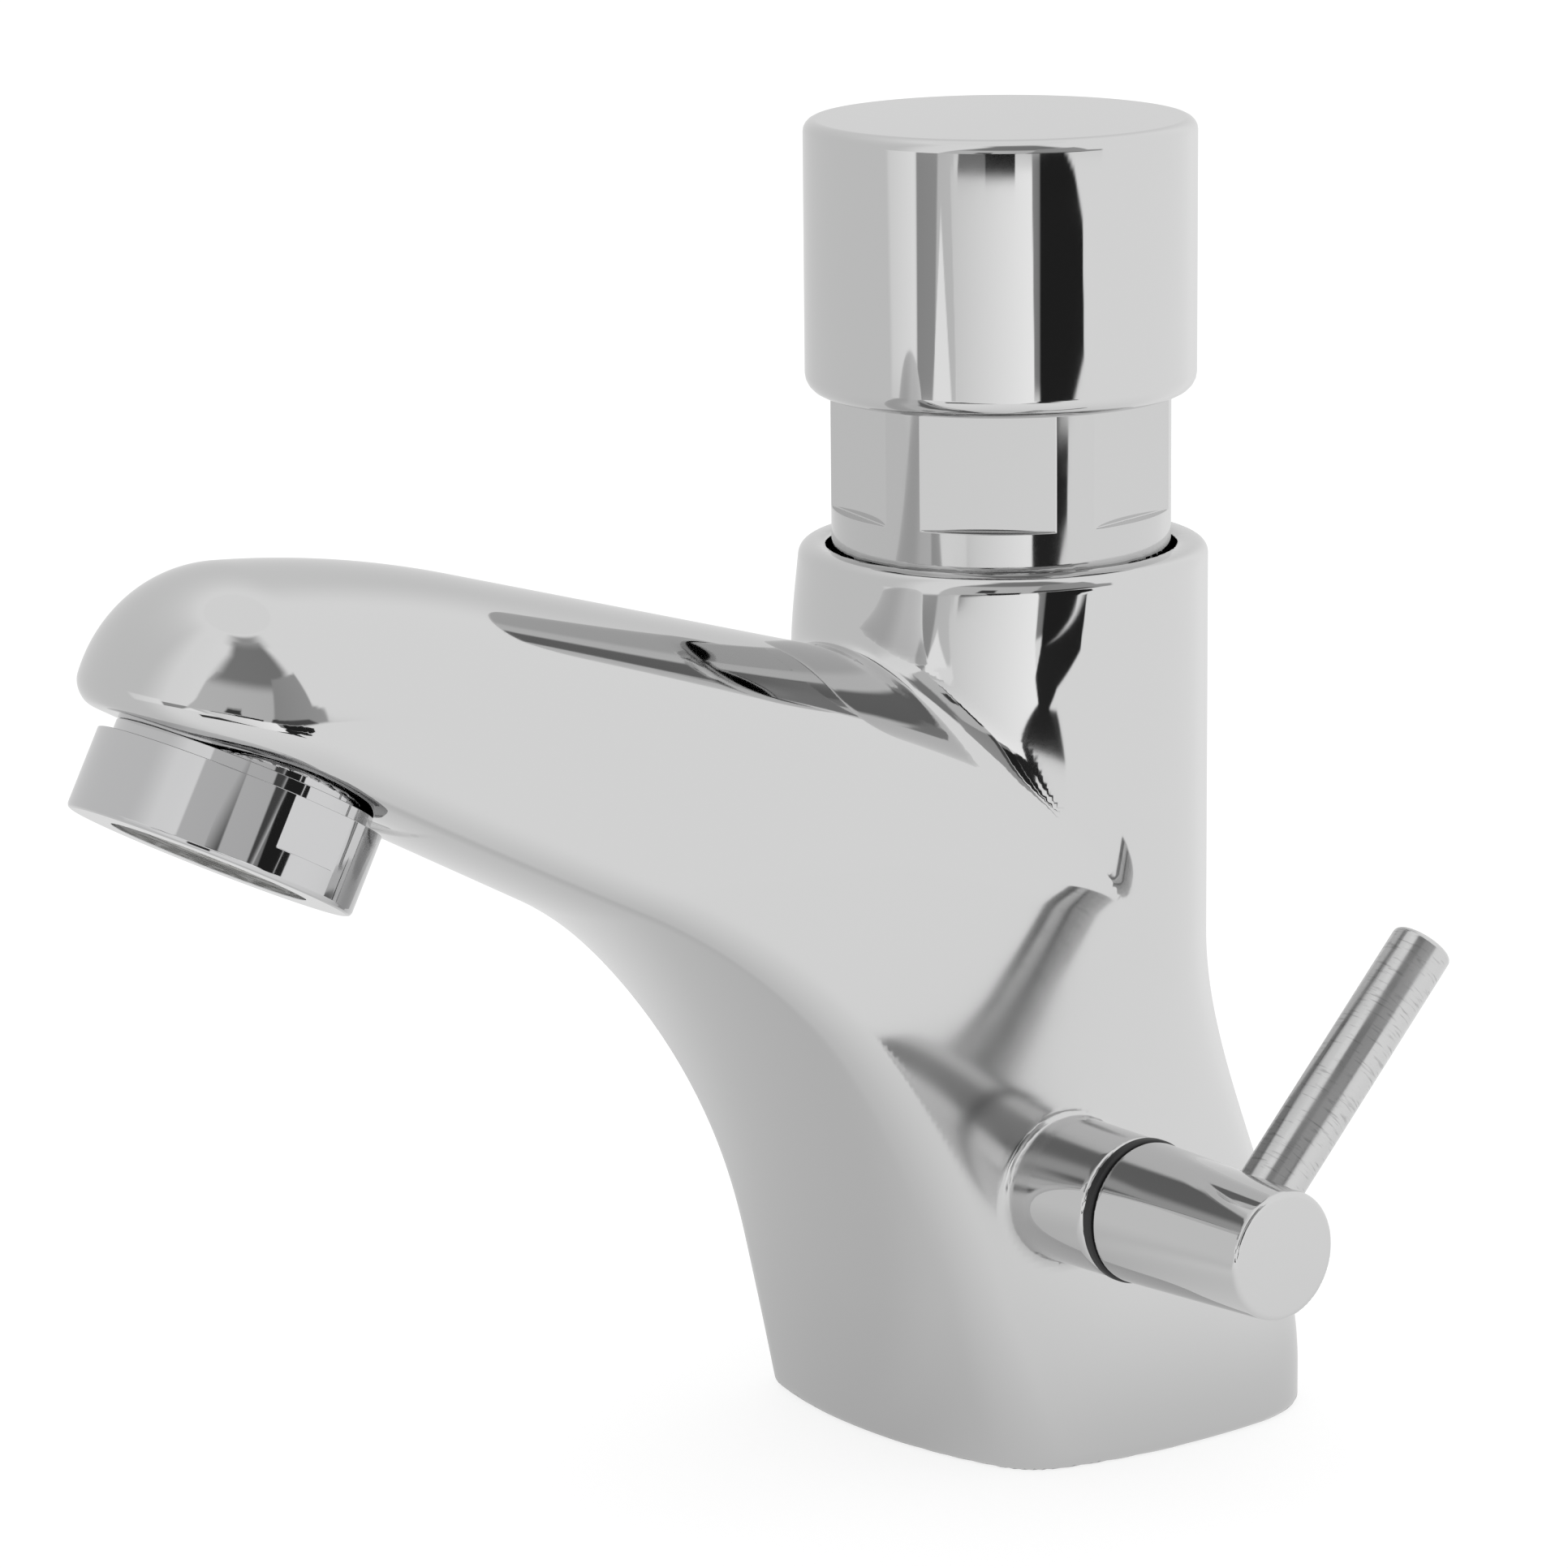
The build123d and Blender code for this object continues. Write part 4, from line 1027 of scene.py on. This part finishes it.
# %% Moulded
def moulded(name, colour, roughness, grain, grain_scale):
    """Plastic or rubber with a fine moulded grain."""
    material = bpy.data.materials.new(name)
    material.use_nodes = True
    nodes = material.node_tree.nodes
    links = material.node_tree.links
    shader = nodes["Principled BSDF"]
    place = nodes.new("ShaderNodeTexCoord")
    noise = nodes.new("ShaderNodeTexNoise")
    noise.inputs["Scale"].default_value = grain_scale
    noise.inputs["Detail"].default_value = 5.0
    links.new(place.outputs["Object"], noise.inputs["Vector"])
    tone = nodes.new("ShaderNodeMix")
    tone.data_type = "RGBA"
    tone.inputs["A"].default_value = shade_of(colour, 0.8)
    tone.inputs["B"].default_value = shade_of(colour, 1.15)
    links.new(noise.outputs["Fac"], tone.inputs["Factor"])
    links.new(tone.outputs["Result"], shader.inputs["Base Color"])
    gloss = nodes.new("ShaderNodeMapRange")
    gloss.inputs["To Min"].default_value = roughness - 0.08
    gloss.inputs["To Max"].default_value = roughness + 0.12
    links.new(noise.outputs["Fac"], gloss.inputs["Value"])
    links.new(gloss.outputs["Result"], shader.inputs["Roughness"])
    bump = nodes.new("ShaderNodeBump")
    bump.inputs["Strength"].default_value = 0.3
    bump.inputs["Distance"].default_value = grain * MM
    links.new(noise.outputs["Fac"], bump.inputs["Height"])
    links.new(bump.outputs["Normal"], shader.inputs["Normal"])
    return material


# %% [markdown]
# ## Return spring
# A spring is one wire that follows a spiral, so Geometry Nodes make it: a Spiral gives the path, and
# Curve to Mesh gives the wire its thickness. Every size is a named input of the tree.


# %% Helpers for node trees
def new_tree(name, sizes):
    """Empty geometry tree with one named input for each size."""
    tree = bpy.data.node_groups.new(name, "GeometryNodeTree")
    tree.interface.new_socket("Geometry", in_out="INPUT", socket_type="NodeSocketGeometry")
    for size in sizes:
        tree.interface.new_socket(size, in_out="INPUT", socket_type="NodeSocketFloat")
    tree.interface.new_socket("Geometry", in_out="OUTPUT", socket_type="NodeSocketGeometry")
    return tree, tree.nodes.new("NodeGroupInput"), tree.nodes.new("NodeGroupOutput")


def grow(name, tree, sizes):
    """Run a geometry tree with its sizes set by identifier, and keep the plain mesh."""
    seed_mesh = bpy.data.meshes.new(name + "_seed")
    seed = bpy.data.objects.new(name + "_seed", seed_mesh)
    bpy.context.scene.collection.objects.link(seed)
    modifier = seed.modifiers.new("nodes", "NODES")
    modifier.node_group = tree
    for item in tree.interface.items_tree:
        if item.in_out == "INPUT" and item.name in sizes:
            modifier[item.identifier] = sizes[item.name]
    return applied(seed, name)


# %% Spring tree
steel_z = tooled("turned_steel", (0.60, 0.60, 0.61), 0.22, "Z")
tree, given, result = new_tree("spring", ["Coil radius", "Wire radius", "Height", "Turns", "Lift"])
spiral = tree.nodes.new("GeometryNodeCurveSpiral")
spiral.inputs["Resolution"].default_value = 40
tree.links.new(given.outputs["Turns"], spiral.inputs["Rotations"])
tree.links.new(given.outputs["Coil radius"], spiral.inputs["Start Radius"])
tree.links.new(given.outputs["Coil radius"], spiral.inputs["End Radius"])
tree.links.new(given.outputs["Height"], spiral.inputs["Height"])
lift = tree.nodes.new("ShaderNodeCombineXYZ")
tree.links.new(given.outputs["Lift"], lift.inputs["Z"])
place = tree.nodes.new("GeometryNodeTransform")
tree.links.new(spiral.outputs["Curve"], place.inputs["Geometry"])
tree.links.new(lift.outputs["Vector"], place.inputs["Translation"])
section = tree.nodes.new("GeometryNodeCurvePrimitiveCircle")
section.inputs["Resolution"].default_value = 12
tree.links.new(given.outputs["Wire radius"], section.inputs["Radius"])
wire = tree.nodes.new("GeometryNodeCurveToMesh")
wire.inputs["Fill Caps"].default_value = True
tree.links.new(place.outputs["Geometry"], wire.inputs["Curve"])
tree.links.new(section.outputs["Curve"], wire.inputs["Profile Curve"])
real = tree.nodes.new("GeometryNodeRealizeInstances")
tree.links.new(wire.outputs["Mesh"], real.inputs["Geometry"])
painted = tree.nodes.new("GeometryNodeSetMaterial")
painted.inputs["Material"].default_value = steel_z
tree.links.new(real.outputs["Geometry"], painted.inputs["Geometry"])
tree.links.new(painted.outputs["Geometry"], result.inputs["Geometry"])

# %% Spring
SPRING_LOW = 63.0
SPRING_HIGH = 80.0
SPRING_WIRE = 0.75
SPRING_RADIUS = 8.85
SPRING_TURNS = 5.5
spring = grow("coil_spring", tree, {
    "Coil radius": SPRING_RADIUS * MM,
    "Wire radius": SPRING_WIRE * MM,
    "Height": (SPRING_HIGH - SPRING_LOW - 2.0 * SPRING_WIRE) * MM,
    "Turns": SPRING_TURNS,
    "Lift": (SPRING_LOW + SPRING_WIRE) * MM,
})
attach(spring, "body")
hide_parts("return_spring")
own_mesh(spring)


# %% A finish for every piece
def dress(piece, material):
    """Give a piece one material in place of any that it has."""
    piece.data.materials.clear()
    piece.data.materials.append(material)


dress(body, cast_chrome)
dress(cap, turned_chrome)
dress(knob, turned_chrome)
dress(neck, neck_chrome)
dress(aerator, aerator_chrome)
rod_finish = marked_rod("marked_rod_chrome", (0.60, 0.60, 0.60), (LEVER_X, *VALVE), LEVER_LEAN)
dress(lever, rod_finish)
black_rubber = moulded("black_rubber", (0.012, 0.012, 0.013), 0.45, 0.05, 900.0)
dress(ring, black_rubber)
dress(spring, steel_z)
pale_acetal = moulded("pale_acetal", (0.80, 0.80, 0.77), 0.42, 0.03, 500.0)
dark_acetal = moulded("dark_acetal", (0.05, 0.05, 0.055), 0.40, 0.03, 500.0)
seal_rubber = moulded("seal_rubber", (0.015, 0.015, 0.015), 0.55, 0.04, 800.0)
brass_x = tooled("brass_along_x", (0.72, 0.55, 0.27), 0.25, "X")
brass_z = tooled("brass_along_z", (0.72, 0.55, 0.27), 0.25, "Z")
cad_finishes = {
    "body_chrome": cast_chrome,
    "cap_chrome": turned_chrome,
    "knob_chrome": turned_chrome,
    "bonnet_chrome": neck_chrome,
    "housing_chrome": aerator_chrome,
    "rod_chrome": rod_finish,
    "ring_rubber": black_rubber,
    "gasket_rubber": seal_rubber,
    "seal_rubber": seal_rubber,
    "strainer_steel": steel_z,
    "spindle_steel": steel_z,
    "spring_steel": steel_z,
    "screen_steel": steel_z,
    "sleeve_plastic": pale_acetal,
    "bush_plastic": pale_acetal,
    "jet_plastic": pale_acetal,
    "piston_plastic": dark_acetal,
    "nut_brass": brass_z,
    "plug_brass": brass_x,
}
slot_of = {part["node"]: part["material_slot"] for part in frame["record"]["subparts"]}
for label, node in frame["nodes"].items():
    dress(node, cad_finishes[slot_of[label]])
print("finishes:", len(cad_finishes))

# %% [markdown]
# ## Light, table and cards
# Polished metal has no colour of its own. What makes it read as chrome is what stands round it: a
# white tent, a few dark gaps between its walls, and a white card beside the lens. Only the metal sees
# these, so they don't show behind the tap, and the white table keeps the tap's soft shadow.

# %% World and table
scene = bpy.context.scene
scene.view_settings.view_transform = "Standard"
world = bpy.data.worlds.new("light_tent")
world.use_nodes = True
scene.world = world
world.node_tree.nodes["Background"].inputs["Color"].default_value = (1.0, 1.0, 1.0, 1.0)
world.node_tree.nodes["Background"].inputs["Strength"].default_value = 1.0

TABLE_HALF = 3000.0
TABLE_TOP = -0.02
TABLE_GLOW = 0.72
table_corners = [(-1.0, -1.0), (1.0, -1.0), (1.0, 1.0), (-1.0, 1.0)]
table = mesh_object(
    "table", [(x * TABLE_HALF, y * TABLE_HALF, TABLE_TOP) for x, y in table_corners], [(0, 1, 2, 3)]
)
paper = bpy.data.materials.new("white_paper")
paper.use_nodes = True
nodes = paper.node_tree.nodes
links = paper.node_tree.links
sheet = nodes["Principled BSDF"]
sheet.inputs["Base Color"].default_value = (0.35, 0.35, 0.35, 1.0)
sheet.inputs["Roughness"].default_value = 0.9
sheet.inputs["Specular IOR Level"].default_value = 0.0
rays = nodes.new("ShaderNodeLightPath")
seen = nodes.new("ShaderNodeMath")
seen.operation = "ADD"
links.new(rays.outputs["Is Camera Ray"], seen.inputs[0])
links.new(rays.outputs["Is Glossy Ray"], seen.inputs[1])
all_seen = nodes.new("ShaderNodeMath")
all_seen.operation = "ADD"
links.new(seen.outputs["Value"], all_seen.inputs[0])
links.new(rays.outputs["Is Transmission Ray"], all_seen.inputs[1])
level = nodes.new("ShaderNodeMath")
level.operation = "MULTIPLY"
level.inputs[1].default_value = TABLE_GLOW
links.new(all_seen.outputs["Value"], level.inputs[0])
sheet.inputs["Emission Color"].default_value = (1.0, 1.0, 1.0, 1.0)
links.new(level.outputs["Value"], sheet.inputs["Emission Strength"])
table.data.materials.append(paper)

# %% Cards of the tent
WALL_RADIUS = 300.0
WALL_TOP = 960.0
LENS_AZIMUTH = math.degrees(CAMERA_AZIMUTH)
# each card has its corners in degrees from the lens and mm of height, its brightness at the left and
# right, and its soft edge in mm
CARDS = (
    ("bright seam", ((-50, 90), (-40, 90), (-30, 300), (-16, 560), (-24, 700), (-44, 560)),
     1.0, 1.05, 40.0),
    ("backing panel", ((-37, 99), (-28, 250), (-22, 300), (26, 300), (27, 99)), 0.68, 0.62, 8.0),
    ("grey panel", ((-24, 260), (-12, 440), (-6, 660), (28, 660), (36, 330), (31, 240)), 0.27, 0.25, 60.0),
    ("gap in the roof", ((-8, 600), (-6, 820), (32, 820), (30, 600)), 0.40, 0.42, 160.0),
    ("side panel", ((14, 103), (20, 290), (44, 320), (48, 170), (57, 150), (57, 102)), 0.36, 0.44, 12.0),
    ("dark bar", ((-17, 116), (-14, 160), (-6, 160), (-7, 116)), 0.06, 0.06, 8.0),
    ("bright side of the gap", ((-66, 62), (-70, 120), (-51, 120), (-50, 62)), 0.90, 1.10, 16.0),
    ("grey gap", ((-50, 62), (-50, 101), (-31, 101), (-34, 90), (-38, 76), (-41, 62)), 0.36, 0.40, 2.5),
    ("pale cloth", ((-37, 101), (-28, 101), (-27, 60), (-40, 60)), 0.70, 0.74, 6.0),
    ("white fold", ((-41, 58), (-39, 72), (-35.5, 90), (-33, 78), (-28.5, 58)), 1.12, 1.12, 1.5),
    ("table edge", ((-34, 30), (-24, 34), (30, 16), (40, -20), (-34, -20)), 0.05, 0.05, 3.0),
    ("white card", ((-30, 96.5), (15.5, 96.5), (17, 60), (20, 22), (6, -6), (2, -6), (-17, 19), (-24, 36)),
     0.86, 1.28, 1.5),
    ("edge of the card", ((15.5, 99), (21, 99), (21, 64), (17, 64)), 0.36, 0.22, 2.0),
    ("grey cap of the card", ((-26, 95.6), (-24, 103), (-9, 103), (-9, 95.6)), 0.22, 0.20, 1.2),
    ("black cap of the card", ((-10, 95.2), (-12, 112), (7, 112), (6, 95.2)), 0.02, 0.02, 1.2),
    ("black cloth", ((20, 57), (20, 100), (33, 100), (40, 96), (45, 89), (46, 69), (37, 60)),
     0.02, 0.02, 1.5),
    ("cloth hem",
     ((20, 58), (18, 40), (20, 22), (6, -20), (38, -20), (26, 18), (30, 30), (42, 44), (43, 58)),
     0.03, 0.02, 2.0),
    ("cloth top", ((12, 103), (14, 128), (42, 122), (50, 103)), 0.08, 0.10, 8.0),
)


def card_share(azimuth, height, corners, soft):
    """How much of a card with those corners lies over each place, from 0 outside to 1 inside."""
    degree = math.radians(1.0) * WALL_RADIUS
    across = azimuth * degree
    nearest = np.full(azimuth.shape, 1e9)
    inside = np.zeros(azimuth.shape, bool)
    for (a, low), (b, high) in zip(corners, corners[1:] + corners[:1]):
        a = a * degree
        b = b * degree
        side = (b - a) ** 2 + (high - low) ** 2
        share = np.clip(((across - a) * (b - a) + (height - low) * (high - low)) / side, 0.0, 1.0)
        away = np.hypot(across - a - share * (b - a), height - low - share * (high - low))
        nearest = np.minimum(nearest, away)
        crossed = (height < low) != (height < high)
        if high != low:
            inside ^= crossed & (across < a + (height - low) * (b - a) / (high - low))
    return smooth_step(0.5 + np.where(inside, nearest, -nearest) / soft)


CLOTH_GLOW = 1.03
DULL_CLOTH = 0.78
TOP_ADDED = 0.24


def plain_wall(azimuth, height):
    """Brightness of the bare tent cloth, duller on the left and behind, by the angle and the height."""
    dull = DULL_CLOTH + TOP_ADDED * smooth_step((height - 200.0) / 700.0)
    away = np.maximum(smooth_step((-42.0 - azimuth) / 24.0), smooth_step((azimuth - 136.0) / 40.0))
    return CLOTH_GLOW + (dull - CLOTH_GLOW) * away


def wall_glow(azimuth, height):
    """Brightness of the tent with its cards."""
    glow = plain_wall(azimuth, height)
    for _, corners, first, last, soft in CARDS:
        start = min(corner[0] for corner in corners)
        end = max(corner[0] for corner in corners)
        tone = first + (last - first) * np.clip((azimuth - start) / (end - start), 0.0, 1.0)
        glow = glow + (tone - glow) * card_share(azimuth, height, corners, soft)
    return glow


# painted shade of the tap on the table as the metal sees it: how much darker it is near the tap on the
# side in front and on the left, and how far out that shade reaches
SHADED_LESS = 0.12
SHADE_START = 20.0
SHADE_LENGTH = 60.0


def table_glow_with_painted_shade(azimuth, reach):
    """Brightness of the table as the metal sees it by the angle from the lens and the distance, with
    painted shade near the tap.
    """
    shaded = smooth_step((20.0 - azimuth) / 60.0) * smooth_step((azimuth + 150.0) / 40.0)
    near = TABLE_GLOW - SHADED_LESS * shaded
    brighter = 1.0 - np.exp((SHADE_START - reach) / SHADE_LENGTH)
    return near + (plain_wall(azimuth, reach * 0.0) - near) * brighter


# %% Tent wall and table with painted shade
def glowing_grid(name, columns, rows, spot, brightness):
    """Grid that shines only for what mirrors it, with its brightness stored on its points."""
    wide, tall = np.meshgrid(columns, rows)
    points = np.stack(spot(wide, tall), -1).reshape(-1, 3)
    corner = (np.arange(len(rows) - 1)[:, None] * len(columns) + np.arange(len(columns) - 1)).ravel()
    step = len(columns)
    faces = np.stack([corner, corner + step, corner + step + 1, corner + 1], 1)
    grid = mesh_object(name, points, faces)
    stored = grid.data.attributes.new("glow", "FLOAT", "POINT")
    stored.data.foreach_set("value", brightness(wide, tall).ravel())
    grid.visible_camera = False
    grid.visible_diffuse = False
    grid.visible_transmission = False
    grid.visible_shadow = False
    grid.data.materials.append(cloth)
    return grid


def spot_round_tap(azimuth, reach, height):
    """Place at an angle from the lens, a distance from the column's axis and a height."""
    direction = np.radians(azimuth + LENS_AZIMUTH)
    return reach * np.sin(direction), -reach * np.cos(direction), height


def wall_spot(azimuth, height):
    return spot_round_tap(azimuth, WALL_RADIUS, height)


def table_spot(azimuth, reach):
    return spot_round_tap(azimuth, reach, reach * 0.0)


cloth = bpy.data.materials.new("tent_cloth")
cloth.use_nodes = True
nodes = cloth.node_tree.nodes
nodes.remove(nodes["Principled BSDF"])
stored_glow = nodes.new("ShaderNodeAttribute")
stored_glow.attribute_name = "glow"
light = nodes.new("ShaderNodeEmission")
cloth.node_tree.links.new(stored_glow.outputs["Fac"], light.inputs["Strength"])
cloth.node_tree.links.new(light.outputs["Emission"], nodes["Material Output"].inputs["Surface"])
CARDS_FROM = -72.0
CARDS_TO = 60.0
CARDS_TOP = 130.0
beside = np.arange(CARDS_FROM, CARDS_TO, 0.5)
wall_angles = np.concatenate([np.arange(-180.0, CARDS_FROM, 4.0), beside, np.arange(CARDS_TO, 181.0, 4.0)])
wall_heights = np.concatenate([np.arange(-3.0, CARDS_TOP, 1.0), np.arange(CARDS_TOP, WALL_TOP, 10.0)])
wall = glowing_grid("tent_wall", wall_angles, wall_heights, wall_spot, wall_glow)
shade_angles = np.arange(-180.0, 181.0, 2.0)
shade_reaches = np.arange(4.0, 301.0, 4.0)
# the metal sees this sheet in place of the table, with the tap's shade on the table painted into its glow
glowing_grid("table_shade", shade_angles, shade_reaches, table_spot, table_glow_with_painted_shade)
print("tent points", len(wall.data.vertices), "cards", len(CARDS))
